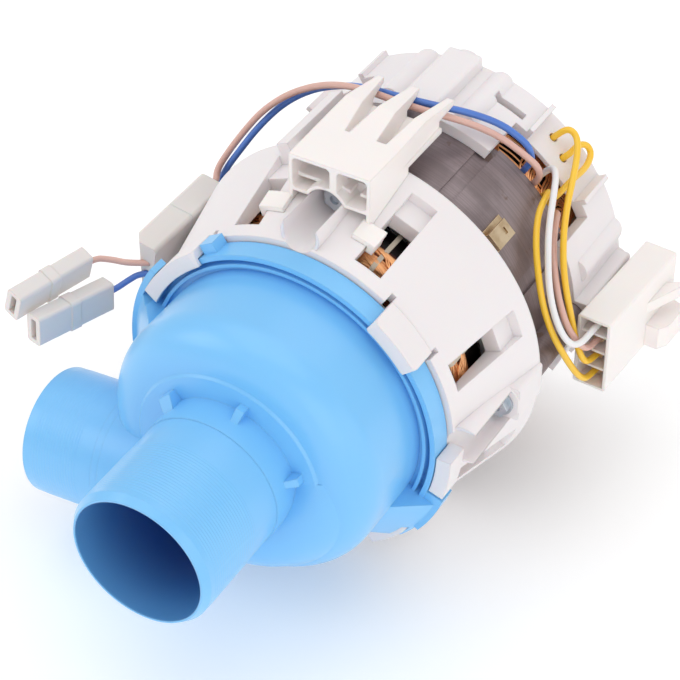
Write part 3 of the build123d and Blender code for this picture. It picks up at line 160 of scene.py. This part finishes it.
# %% Shader expressions
class Flow:
    """An output socket of a material's node network, which arithmetic can be done on."""

    def __init__(self, network, socket=None):
        self.network = network
        self.socket = socket

    def add(self, kind, settings=None, values=None, out=0):
        """Adds a node, sets its settings, then gives its sockets numbers or links."""
        node = self.network.nodes.new("ShaderNode" + kind)
        for name, value in (settings or {}).items():
            setattr(node, name, value)
        for name, value in (values or {}).items():
            if isinstance(value, Flow):
                self.network.links.new(value.socket, node.inputs[name])
            else:
                node.inputs[name].default_value = value
        return Flow(self.network, node.outputs[out])

    def math(self, operation, *terms):
        return self.add("Math", {"operation": operation}, dict(enumerate(terms)))

    def __add__(self, other):
        return self.math("ADD", self, other)

    def __sub__(self, other):
        return self.math("SUBTRACT", self, other)

    def __mul__(self, other):
        return self.math("MULTIPLY", self, other)

    def __rsub__(self, other):
        return self.math("SUBTRACT", other, self)

    __radd__ = __add__
    __rmul__ = __mul__

    def between(self, low, high):
        """0 below low, 1 above high, with a soft step between."""
        settings = {"interpolation_type": "SMOOTHSTEP"}
        return self.add("MapRange", settings, {"Value": self, "From Min": low, "From Max": high})

    def mix(self, first, second):
        """Colour that goes from the first at 0 to the second at 1."""
        return self.add("Mix", {"data_type": "RGBA"}, {0: self, 6: first, 7: second}, out=2)

    def noise(self, scale, detail=2.0, stretch=None):
        """Cloudy pattern with so many lumps a metre, on the piece's own coordinates."""
        place = self.add("TexCoord", out="Object")
        if stretch:
            place = self.add("Mapping", {}, {"Vector": place, "Scale": stretch})
        return self.add("TexNoise", {}, {"Vector": place, "Scale": scale, "Detail": detail}, out="Fac")

    def axis(self, name):
        """One coordinate of the piece in metres, by its letter."""
        place = self.add("TexCoord", out="Object")
        return self.add("SeparateXYZ", {}, {"Vector": place}, out=name)

    def from_shaft(self):
        """Distance from the shaft's axis in metres."""
        square = self.math("POWER", self.axis("X"), 2.0) + self.math("POWER", self.axis("Z"), 2.0)
        return self.math("SQRT", square)


def tone(red, green, blue):
    """Colour with full opacity."""
    return (red, green, blue, 1.0)


def finish_of(name, **fixed):
    """New material, its node network and its shader, with the sockets that are the same all over."""
    made = bpy.data.materials.new(name)
    made.use_nodes = True
    shader = made.node_tree.nodes["Principled BSDF"]
    for socket, value in fixed.items():
        shader.inputs[socket.replace("_", " ")].default_value = value
    return made, Flow(made.node_tree), shader


def feed(flow, shader, **values):
    """Links values that change over the surface to the shader's sockets."""
    for name, value in values.items():
        flow.network.links.new(value.socket, shader.inputs[name.replace("_", " ")])


# %% [markdown]
# Moulded plastic is never one even colour. It drifts a little across a part, its skin has a fine grain, and its
# corners are rounded by a few tenths of a millimetre, which catches the light. The Bevel node rounds the corners
# in the shading alone, so the solids stay as the model has them.

# %% Moulded plastics
BEVEL_SAMPLES = 6
BORE_INSIDE = 0.0228
BORE_EDGE = 0.0231
BORE_LIP = 0.001


def moulded(name, colour, shade, roughness, grain, corner, inside=0.0, coat=0.0, painted_shade=None):
    """Injection-moulded plastic: drifting colour, grained skin, rounded corners and any painted shade it is given.
    """
    made, flow, shader = finish_of(name, Subsurface_Weight=inside, Subsurface_Scale=0.002, Coat_Weight=coat,
                                   Coat_Roughness=0.25, IOR=1.5)
    drift = flow.noise(22.0, 3.0)
    pores = flow.noise(2400.0, 2.0)
    smudge = flow.noise(90.0, 4.0).between(0.45, 0.75)
    rounded = flow.add("Bevel", {"samples": BEVEL_SAMPLES}, {"Radius": corner})
    skin = flow.add("Bump", {}, {"Strength": grain, "Distance": 0.00008, "Height": pores, "Normal": rounded})
    base = drift.mix(shade, colour)
    if painted_shade:
        base = painted_shade(flow, base)
    feed(flow, shader, Base_Color=base, Roughness=roughness + 0.08 * drift + 0.06 * smudge, Normal=skin)
    return made


def painted_bore_shade(flow, colour):
    """Painted shade: colour that turns darker and deeper blue inside the inlet's bore, by distance from the shaft
    and by depth.
    """
    inside_bore = 1.0 - flow.from_shaft().between(BORE_INSIDE, BORE_EDGE)
    depth = flow.axis("Y").between(-0.002, 0.03) * 0.5 + 0.45
    # The dark blue here is painted shade, standing in for the shade deep in the bore.
    return (inside_bore * depth * flow.axis("Y").between(-BORE_LIP, BORE_LIP)).mix(colour, tone(0.004, 0.07, 0.34))


# The blue plastic gets painted shade inside the inlet's bore.
blue_plastic = moulded("blue_plastic", tone(0.195, 0.55, 0.93), tone(0.175, 0.515, 0.9), 0.27, 0.2, 0.0005,
                       inside=0.06, coat=0.4, painted_shade=painted_bore_shade)
white_plastic = moulded("white_plastic", tone(0.84, 0.80, 0.81), tone(0.81, 0.765, 0.77), 0.42, 0.3, 0.0006,
                        inside=0.15)
cream_plastic = moulded("cream_plastic", tone(0.92, 0.87, 0.85), tone(0.89, 0.83, 0.80), 0.4, 0.25, 0.0007,
                        inside=0.2)
lead_plastic = moulded("lead_plastic", tone(0.77, 0.73, 0.705), tone(0.73, 0.685, 0.66), 0.36, 0.2, 0.0006,
                       inside=0.25)
dark_plastic = moulded("dark_plastic", tone(0.03, 0.03, 0.032), tone(0.02, 0.02, 0.022), 0.45, 0.4, 0.0003)

# %% [markdown]
# The stator is a pile of half-millimetre steel sheets. Their edges show as fine lines round the motor, some
# sheets a little darker than others, with scratches across them and a bloom of rust. The coordinate along the
# shaft, in steps of the sheet's thickness, gives each sheet its own shade.

# %% Stator sheets and other metals
SHEET = 0.0005


def sheet_stack(name):
    """Edges of stacked sheets: a tone for each sheet, grooves between sheets, scratches and spots of rust."""
    made, flow, shader = finish_of(name, Specular_IOR_Level=0.5)
    along = flow.axis("Y") * (1.0 / SHEET)
    sheet_number = flow.math("FLOOR", along)
    seam = flow.math("PINGPONG", along, 0.5).between(0.0, 0.16)
    shade = flow.add("TexWhiteNoise", {"noise_dimensions": "1D"}, {"W": sheet_number}, out="Value")
    scratch = flow.noise(700.0, 2.0, stretch=(1.0, 0.02, 1.0)).between(0.5, 0.7)
    patch = flow.noise(60.0, 5.0).between(0.42, 0.66)
    rust = flow.noise(130.0, 6.0).between(0.63, 0.70) * 0.7
    steel_tone = patch.mix(tone(0.25, 0.20, 0.205), tone(0.37, 0.305, 0.315))
    steel_tone = (shade * 0.35).mix(steel_tone, tone(0.16, 0.13, 0.135))
    steel_tone = rust.mix(steel_tone, tone(0.16, 0.09, 0.055))
    height = seam * 0.7 + scratch * 0.15
    groove = flow.add("Bump", {}, {"Strength": 0.5, "Distance": 0.0001, "Height": height})
    feed(flow, shader, Base_Color=steel_tone, Metallic=0.75 - 0.6 * rust, Roughness=0.42 + 0.12 * patch,
         Normal=groove)
    return made


def bare_metal(name, colour, dull, roughness, grain=0.15, corner=0.0003):
    """Bright metal with faint stains, fine scratches and worn corners."""
    made, flow, shader = finish_of(name, Metallic=1.0)
    stain = flow.noise(160.0, 4.0).between(0.35, 0.7)
    scratch = flow.noise(1800.0, 2.0, stretch=(1.0, 0.15, 1.0))
    rounded = flow.add("Bevel", {"samples": BEVEL_SAMPLES}, {"Radius": corner})
    skin = flow.add("Bump", {}, {"Strength": grain, "Distance": 0.00006, "Height": scratch, "Normal": rounded})
    feed(flow, shader, Base_Color=stain.mix(colour, dull), Roughness=roughness + 0.15 * stain + 0.1 * scratch,
         Normal=skin)
    return made


lamination = sheet_stack("lamination")
zinc = bare_metal("zinc", tone(0.62, 0.67, 0.72), tone(0.47, 0.52, 0.57), 0.24)
steel = bare_metal("steel", tone(0.56, 0.56, 0.57), tone(0.42, 0.41, 0.41), 0.22)
brass = bare_metal("brass", tone(0.78, 0.62, 0.42), tone(0.55, 0.40, 0.24), 0.24)
cast_aluminium = bare_metal("cast_aluminium", tone(0.70, 0.71, 0.72), tone(0.52, 0.53, 0.54), 0.4, 0.5)

# %% [markdown]
# Enamelled copper is bright metal under a thin clear varnish. Deep in the coil the colour is painted dark
# red-brown, as painted shade for the little light that gets there. The colour follows the distance from the shaft,
# worked out from the two coordinates across it, so the outer strands keep the bright colour and the gaps get
# painted shade.

# %% Enamelled copper
def enamelled(name, bright, shade_and_tarnish, depth_low, depth_high, painted_neck_shadow=None):
    """Varnished copper wire, painted darker towards the inside of the coil as painted shade, with a painted black
    shadow at the neck of the front head.
    """
    made, flow, shader = finish_of(name, Coat_Weight=0.3, Coat_Roughness=0.15)
    depth = flow.from_shaft().between(depth_low, depth_high)
    tarnish = flow.noise(350.0, 3.0)
    # Painted shade: the colour goes from the dark colour near the shaft to the bright one outside.
    base = depth.mix(shade_and_tarnish, bright)
    base = (tarnish.between(0.5, 0.75) * 0.45).mix(base, shade_and_tarnish)
    if painted_neck_shadow:
        # Painted shadow: the neck between the front coil head and the core is painted near black.
        base = flow.axis("Y").between(*painted_neck_shadow).mix(base, tone(0.006, 0.004, 0.004))
    feed(flow, shader, Base_Color=base, Metallic=0.45 + 0.3 * depth, Roughness=0.22 + 0.2 * tarnish)
    return made


copper = enamelled("copper", tone(1.0, 0.50, 0.22), tone(0.42, 0.13, 0.05), 0.0492, 0.0520)
# A much darker copy of the copper for the model's coil bodies under the strands, as painted shade for the gaps
# between strands.
shaded_copper = enamelled("shaded_copper", tone(0.18, 0.045, 0.018), tone(0.07, 0.016, 0.008), 0.048, 0.0525,
                        painted_neck_shadow=(0.1150, 0.1165))

# %% [markdown]
# Rubber, ceramic and carbon only show when the pump is taken apart, and the lacing that ties the coils is waxed
# cord. Each still has a finish with its own grain.

# %% Seals and lacing
def soft_black(name, colour, roughness, grain):
    """Rubber or carbon: dark, with a fine powdery grain."""
    made, flow, shader = finish_of(name)
    bloom = flow.noise(300.0, 4.0)
    skin = flow.add("Bump", {}, {"Strength": grain, "Distance": 0.00008, "Height": flow.noise(3000.0)})
    feed(flow, shader, Base_Color=bloom.mix(colour, tone(0.07, 0.07, 0.072)), Roughness=roughness + 0.2 * bloom,
         Normal=skin)
    return made


rubber = soft_black("rubber", tone(0.02, 0.02, 0.02), 0.55, 0.4)
carbon = soft_black("carbon", tone(0.035, 0.035, 0.038), 0.3, 0.15)
ceramic = moulded("ceramic", tone(0.82, 0.81, 0.78), tone(0.78, 0.77, 0.74), 0.18, 0.05, 0.0002, coat=0.4)
lacing = moulded("lacing", tone(0.78, 0.70, 0.58), tone(0.66, 0.57, 0.45), 0.6, 0.9, 0.0002)

# %% Give each piece its finish
FINISHES = {
    "blue_plastic": blue_plastic, "white_plastic": white_plastic, "cream_plastic": cream_plastic,
    "lead_plastic": lead_plastic, "dark_plastic": dark_plastic, "lamination": lamination, "steel": steel,
    "zinc": zinc, "copper": shaded_copper, "cast_aluminium": cast_aluminium, "brass": brass, "rubber": rubber,
    "ceramic": ceramic, "carbon": carbon, "lacing": lacing,
}
for part in frame["record"]["subparts"]:
    if part["material_slot"] in FINISHES:
        mesh = nodes[part["node"]].data
        mesh.materials.clear()
        mesh.materials.append(FINISHES[part["material_slot"]])
print("finishes:", len(FINISHES))

# %% [markdown]
# A lead is a copper core in soft plastic, extruded in one colour. It has a gloss that breaks up slightly, because
# the plastic follows the strands inside. Each lead is a smooth NURBS line that its control points pull on, which
# bends like real wire, with a round section of the lead's own diameter.

# %% Insulated leads
def insulation(name, colour, shade):
    """Extruded wire insulation with faint waves from the strands inside."""
    made, flow, shader = finish_of(name, Coat_Weight=0.25, Coat_Roughness=0.2, Subsurface_Weight=0.1,
                                   Subsurface_Scale=0.001)
    drift = flow.noise(120.0, 3.0)
    waves = flow.noise(900.0, 2.0)
    skin = flow.add("Bump", {}, {"Strength": 0.25, "Distance": 0.0001, "Height": waves})
    feed(flow, shader, Base_Color=drift.mix(shade, colour), Roughness=0.3 + 0.15 * drift, Normal=skin)
    return made


def lead(name, millimetres, radius, finish, node):
    """Wire along control points in millimetres. It takes the place of the model's plain tube."""
    line = bpy.data.curves.new(name, "CURVE")
    line.dimensions = "3D"
    line.bevel_depth = radius / 1000
    line.bevel_resolution = 4
    line.resolution_u = 10
    line.use_fill_caps = True
    spline = line.splines.new("NURBS")
    spline.points.add(len(millimetres) - 1)
    places = np.ones((len(millimetres), 4))
    places[:, :3] = np.array(millimetres) / 1000
    spline.points.foreach_set("co", places.ravel())
    spline.order_u = 3
    spline.use_endpoint_u = True
    line.materials.append(finish)
    wire = bpy.data.objects.new(name, line)
    scene.collection.objects.link(wire)
    length = spline.calc_length()
    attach(wire, "pump_body")
    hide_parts(node)
    print(name, "length in millimetres:", round(length * 1000, 1))
    return wire


blue_insulation = insulation("insulation_blue", tone(0.085, 0.22, 0.66), tone(0.065, 0.17, 0.55))
pink_insulation = insulation("insulation_pink", tone(0.76, 0.48, 0.41), tone(0.66, 0.40, 0.34))
yellow_insulation = insulation("insulation_yellow", tone(0.95, 0.60, 0.04), tone(0.90, 0.53, 0.03))
white_insulation = insulation("insulation_white", tone(0.87, 0.86, 0.86), tone(0.80, 0.79, 0.80))

# %% [markdown]
# The control points below are the same as the route of each lead's tube in the model, picked from the photograph.
# Two thicker leads run over the top to the inline connector at the left, two short tails leave it for the push-on
# receptacles, and five thinner leads form the loose harness at the right.

# %% Routes of the leads
BLUE_ROUTE = [(33.7, 183.0, 42.2), (37.6, 182.8, 47.8), (36.8, 181.7, 54.0), (33.4, 180.8, 57.6),
              (26.4, 179.5, 61.6), (17.5, 174.7, 65.6), (9.0, 168.6, 68.9), (-1.5, 166.3, 69.5),
              (-12.0, 167.0, 68.4), (-23.0, 170.5, 64.7), (-34.5, 174.4, 58.6), (-45.3, 175.3, 52.3),
              (-54.4, 173.0, 44.9), (-61.0, 167.2, 36.2), (-65.6, 162.0, 27.6), (-70.8, 160.6, 18.6),
              (-72.6, 157.2, 11.4), (-71.93, 154.2, 8.42), (-71.93, 142.62, 8.42)]
PINK_ROUTE = [(37.0, 182.4, 38.3), (41.2, 181.4, 42.4), (41.6, 179.8, 48.8), (36.6, 178.4, 53.2),
              (28.7, 175.9, 59.2), (19.4, 171.4, 64.1), (11.1, 165.6, 68.1), (2.0, 162.9, 69.6),
              (-8.5, 163.0, 69.9), (-19.0, 166.2, 67.6), (-30.0, 170.6, 62.8), (-41.0, 173.0, 57.2),
              (-51.5, 171.6, 50.8), (-59.8, 168.8, 42.8), (-65.2, 165.4, 34.6), (-69.6, 161.8, 26.6),
              (-72.6, 157.8, 19.6), (-70.47, 154.2, 16.69), (-70.47, 142.62, 16.69)]
PINK_TAIL = [(-66.5, 110.2, 13.0), (-73.47, 105.17, 13.0), (-80.0, 102.0, 14.6), (-84.35, 97.93, 15.95),
             (-87.73, 82.8, 16.21)]
BLUE_TAIL = [(-66.0, 110.2, 8.9), (-70.86, 106.69, 8.9), (-73.4, 103.0, 7.4), (-75.75, 97.89, 5.73),
             (-79.63, 82.95, 7.13)]
WHITE_ROUTE = [(38.0, 187.5, 39.0), (42.2, 188.0, 44.8), (46.2, 183.6, 46.2), (49.6, 175.0, 44.2),
               (53.1, 165.0, 38.8), (57.2, 157.0, 31.4), (61.3, 151.2, 23.0), (66.0, 148.4, 14.2),
               (70.4, 148.8, 7.6), (72.6, 153.2, 4.8), (73.34, 161.0, 5.5), (73.85, 169.97, 5.5)]
FRONT_ROUTE = [(40.6, 184.0, 33.4), (44.6, 182.6, 38.8), (46.6, 176.4, 42.0), (47.6, 168.0, 40.4),
               (51.0, 160.0, 35.2), (55.8, 153.0, 28.4), (60.4, 148.6, 19.6), (64.6, 147.8, 10.4),
               (68.2, 150.0, 1.6), (70.6, 153.4, -6.4), (72.4, 157.0, -12.6), (73.37, 161.4, -15.5),
               (73.85, 169.97, -15.5)]
REAR_ROUTE = [(34.3, 200.5, 43.9), (38.4, 200.5, 49.2), (42.0, 201.0, 52.2), (45.4, 200.6, 50.0),
              (48.2, 195.2, 46.8), (50.8, 187.0, 43.2), (53.4, 178.0, 39.6), (56.6, 169.4, 34.0),
              (60.0, 163.4, 26.6), (63.4, 160.0, 18.6), (66.4, 158.6, 10.6), (68.8, 158.0, 2.4),
              (72.0, 157.6, -5.0), (73.37, 161.4, -8.5), (73.85, 169.97, -8.5)]
SHORT_ROUTE = [(44.4, 182.6, 28.9), (48.6, 182.2, 32.4), (50.9, 175.2, 33.4), (54.0, 167.6, 29.8),
               (58.6, 160.2, 24.2), (62.8, 156.0, 17.4), (66.8, 154.0, 10.6), (69.9, 155.0, 5.0),
               (72.6, 157.4, 0.2), (73.37, 161.4, -1.5), (73.85, 169.97, -1.5)]
LOOP_ROUTE = [(42.6, 183.0, 31.0), (46.8, 184.0, 36.6), (48.8, 190.6, 39.8), (49.2, 197.4, 39.0),
              (49.0, 203.2, 38.8), (48.0, 207.4, 40.6), (45.8, 207.2, 43.4), (44.2, 203.0, 44.6),
              (44.3, 198.2, 44.3), (40.8, 197.5, 40.8)]

LEAD_RADIUS = 1.2
HARNESS_RADIUS = 1.15
TAIL_RADIUS = 1.1
lead("blue_wire", BLUE_ROUTE, LEAD_RADIUS, blue_insulation, "blue_lead")
lead("pink_wire", PINK_ROUTE, LEAD_RADIUS, pink_insulation, "pink_lead")
lead("pink_tail_wire", PINK_TAIL, TAIL_RADIUS, pink_insulation, "pink_tail")
lead("blue_tail_wire", BLUE_TAIL, TAIL_RADIUS, blue_insulation, "blue_tail")
lead("white_wire", WHITE_ROUTE, HARNESS_RADIUS, white_insulation, "white_lead")
lead("yellow_wire_front", FRONT_ROUTE, HARNESS_RADIUS, yellow_insulation, "yellow_lead_front")
lead("yellow_wire_rear", REAR_ROUTE, HARNESS_RADIUS, yellow_insulation, "yellow_lead_rear")
lead("short_pink_wire", SHORT_ROUTE, HARNESS_RADIUS, pink_insulation, "short_pink_lead")
lead("yellow_loop_wire", LOOP_ROUTE, HARNESS_RADIUS, yellow_insulation, "yellow_loop")

# %% [markdown]
# Behind the windows the coil heads show hundreds of turns of wire. Each strand is a tube whose middle line runs
# round the motor on the coil head's rounded section. Its place on the section wanders as a sum of slow waves, the
# same for the strands of one bundle, and all the points of all strands come from one array expression.

# %% Copper strands
STRAND_RADIUS = 0.00042
STRAND_SIDES = 6
STRAND_STEPS = 260
STRANDS_PER_BUNDLE = 8
STRAND_SPREAD = 2.2
BUNDLE_STEPS = 36
BUNDLE_SPREAD = 1.25
BUNDLE_WIDTH = 9
SECTION_POWER = 4.0


def grid_mesh(name, points, closed_along, closed_across):
    """Mesh from points of shape (along, across, 3), with its edges joined where the grid is closed."""
    along, across = points.shape[:2]
    rows = np.arange(along if closed_along else along - 1)[:, None]
    columns = np.arange(across if closed_across else across - 1)[None, :]
    next_row = (rows + 1) % along
    next_column = (columns + 1) % across
    corners = [rows * across + columns, rows * across + next_column,
               next_row * across + next_column, next_row * across + columns]
    return points.reshape(-1, 3), np.stack(corners, axis=-1).reshape(-1, 4)


def add_piece(name, points, faces, finish, body="pump_body"):
    """Smooth mesh piece that rides on a body, with the finish it is given."""
    mesh = bpy.data.meshes.new(name)
    mesh.from_pydata(points.tolist(), [], faces.tolist())
    mesh.polygons.foreach_set("use_smooth", np.ones(len(faces), bool))
    mesh.materials.append(finish)
    mesh.update()
    piece = bpy.data.objects.new(name, mesh)
    scene.collection.objects.link(piece)
    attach(piece, body)
    print(name, "faces:", len(faces))
    return piece


def section_point(t, turn, lift, radial_middle, radial_half, station, station_half):
    """Point on a coil head. t goes round its section, a superellipse, and turn goes round the motor."""
    power = 2 / SECTION_POWER
    out = np.sign(np.cos(t)) * np.abs(np.cos(t)) ** power
    rear = np.sign(np.sin(t)) * np.abs(np.sin(t)) ** power
    radius = radial_middle + radial_half * out + lift * np.cos(t)
    place = station + station_half * rear + lift * np.sin(t)
    outward = np.stack([np.cos(t) * np.cos(turn), np.sin(t) + 0 * turn, np.cos(t) * np.sin(turn)], axis=-1)
    return np.stack([radius * np.cos(turn), place, radius * np.sin(turn)], axis=-1), outward


def strand_tubes(name, line, outward, closed):
    """Tubes along lines of shape (strand, step, 3). Each ring is a circle across the line's own direction."""
    if closed:
        tangent = np.roll(line, -1, axis=1) - np.roll(line, 1, axis=1)
    else:
        tangent = np.gradient(line, axis=1)
    tangent /= np.linalg.norm(tangent, axis=-1, keepdims=True)
    side = np.cross(tangent, outward)
    side /= np.linalg.norm(side, axis=-1, keepdims=True)
    up = np.cross(side, tangent)[:, :, None, :]
    angle = np.linspace(0, 2 * np.pi, STRAND_SIDES, endpoint=False)[:, None]
    rings = line[:, :, None, :] + STRAND_RADIUS * (np.cos(angle) * up + np.sin(angle) * side[:, :, None, :])
    count, steps = line.shape[:2]
    corner, quad = grid_mesh(name, rings[0], closed, True)
    faces = quad[None, :, ::-1] + (np.arange(count) * steps * STRAND_SIDES)[:, None, None]
    return add_piece(name, rings.reshape(-1, 3), faces.reshape(-1, 4), copper)


def coil_strands(name, section, seed, count):
    """Strands round a whole coil head. Their place on its section wanders as a sum of slow waves."""
    draw = np.random.default_rng(seed)
    turn = np.linspace(0, 2 * np.pi, STRAND_STEPS, endpoint=False)[None, :]
    bundle = np.arange(count) // STRANDS_PER_BUNDLE
    waves = draw.uniform(0, 2 * np.pi, (2, bundle.max() + 1))[:, bundle, None]
    start = np.linspace(-STRAND_SPREAD, STRAND_SPREAD, count)[:, None] + draw.normal(0, 0.02, (count, 1))
    own = draw.uniform(0, 2 * np.pi, (count, 1))
    t = start + 0.16 * np.sin(4 * turn + waves[0]) + 0.06 * np.sin(12 * turn + waves[1])
    t = t + 0.03 * np.sin(7 * turn + own)
    lift = STRAND_RADIUS * (0.1 + 0.35 * np.sin(5 * turn + own) + 0.3 * np.sin(24 * turn + waves[0]))
    line, outward = section_point(t, turn, lift, *section)
    strand_tubes(name, line, outward, True)


def leaning_bundles(name, section, seed, bundles, lean):
    """Bundles that leave the core's slots and lean over the head. Both ends dive under the other strands."""
    draw = np.random.default_rng(seed)
    way = np.linspace(0, 1, BUNDLE_STEPS)[None, None, :]
    first = (np.arange(bundles) + draw.uniform(-0.2, 0.2, bundles))[:, None, None] * 2 * np.pi / bundles
    sweep = lean * draw.uniform(0.75, 1.25, bundles)[:, None, None]
    place = np.arange(BUNDLE_WIDTH)[None, :, None] - (BUNDLE_WIDTH - 1) / 2
    own = draw.uniform(0, 2 * np.pi, (bundles, BUNDLE_WIDTH, 1))
    pitch = 2 * STRAND_RADIUS / (section[0] + section[1])
    ease = way * way * (3 - 2 * way)
    turn = first + sweep * ease + place * pitch * (1 + 0.25 * np.sin(np.pi * way)) + 0.006 * np.sin(5 * way + own)
    t = BUNDLE_SPREAD * (2 * way - 1) * (1 + 0.05 * np.sin(own)) + 0 * turn
    arch = np.clip(np.minimum(way, 1 - way) * 5, 0, 1)
    lift = STRAND_RADIUS * (3.4 * arch - 2.2 + 0.25 * np.sin(6 * way + own)) + 0 * turn
    turn, t, lift = (part.reshape(bundles * BUNDLE_WIDTH, BUNDLE_STEPS) for part in (turn, t, lift))
    line, outward = section_point(t, turn, lift, *section)
    strand_tubes(name, line, outward, False)


head_low, head_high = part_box("main_winding")
HEAD_INNER = 0.0414
HEAD_OUTER = head_high[0]
FRONT_BULGE = 0.0094
REAR_DEPTH = 0.0197
head_middle = (HEAD_INNER + HEAD_OUTER) / 2
head_half = (HEAD_OUTER - HEAD_INNER) / 2
front_section = (head_middle, head_half, head_low[1] + FRONT_BULGE / 2, FRONT_BULGE / 2)
rear_section = (head_middle, head_half, head_high[1] - REAR_DEPTH / 2, REAR_DEPTH / 2)
coil_strands("front_coil_strands", front_section, 11, 44)
coil_strands("rear_coil_strands", rear_section, 23, 56)
leaning_bundles("front_coil_bundles", front_section, 31, 18, 0.55)
leaning_bundles("rear_coil_bundles", rear_section, 47, 24, 0.22)

# %% [markdown]
# The spigots have fine rings that grip the hose. They are too fine for the model, so each spigot gets a thin
# sleeve: a profile of shallow waves along the tube, turned round the tube's own axis. The waves fade at both ends.

# %% Hose rings on the spigots
RING_PITCH = 0.0011
RING_HEIGHT = 0.00011
RING_LIFT = 0.00001
END_DIP = 0.00006
STEPS_PER_RING = 8
STEPS_AROUND = 128


def ringed_sleeve(name, mouth, axis, radius, start, length):
    """Sleeve round an axis. Its radius adds a cosine wave of one ring pitch, faded to nothing at its ends."""
    axis = np.array(axis, float) / np.linalg.norm(axis)
    side = np.cross(axis, (0.0, 0.0, 1.0))
    side /= np.linalg.norm(side)
    up = np.cross(side, axis)
    along = np.linspace(start, start + length, int(length / RING_PITCH * STEPS_PER_RING))[:, None]
    turn = np.linspace(0, 2 * np.pi, STEPS_AROUND, endpoint=False)[None, :]
    fade = np.clip(np.minimum(along - start, start + length - along) / (2 * RING_PITCH), 0, 1)
    wave = 0.5 - 0.5 * np.cos(2 * np.pi * (along - start) / RING_PITCH)
    reach = radius + RING_LIFT + fade * wave * RING_HEIGHT
    reach = reach - (1 - fade) * END_DIP
    points = (np.array(mouth) + along[..., None] * axis
              + (reach * np.cos(turn))[..., None] * side + (reach * np.sin(turn))[..., None] * up)
    corner, faces = grid_mesh(name, points, False, True)
    return add_piece(name, corner, faces, blue_plastic)


INLET_RADIUS = 0.025
OUTLET_RADIUS = 0.0219
OUTLET_MOUTH = (-0.075001, 0.062, -0.029649)
OUTLET_INWARD = (0.996195, 0.0, 0.087156)
INLET_RINGS = (0.0036, 0.025)
OUTLET_RINGS = (0.0016, 0.021)
ringed_sleeve("inlet_rings", (0, 0, 0), (0, 1, 0), INLET_RADIUS, *INLET_RINGS)
ringed_sleeve("outlet_rings", OUTLET_MOUTH, OUTLET_INWARD, OUTLET_RADIUS, *OUTLET_RINGS)
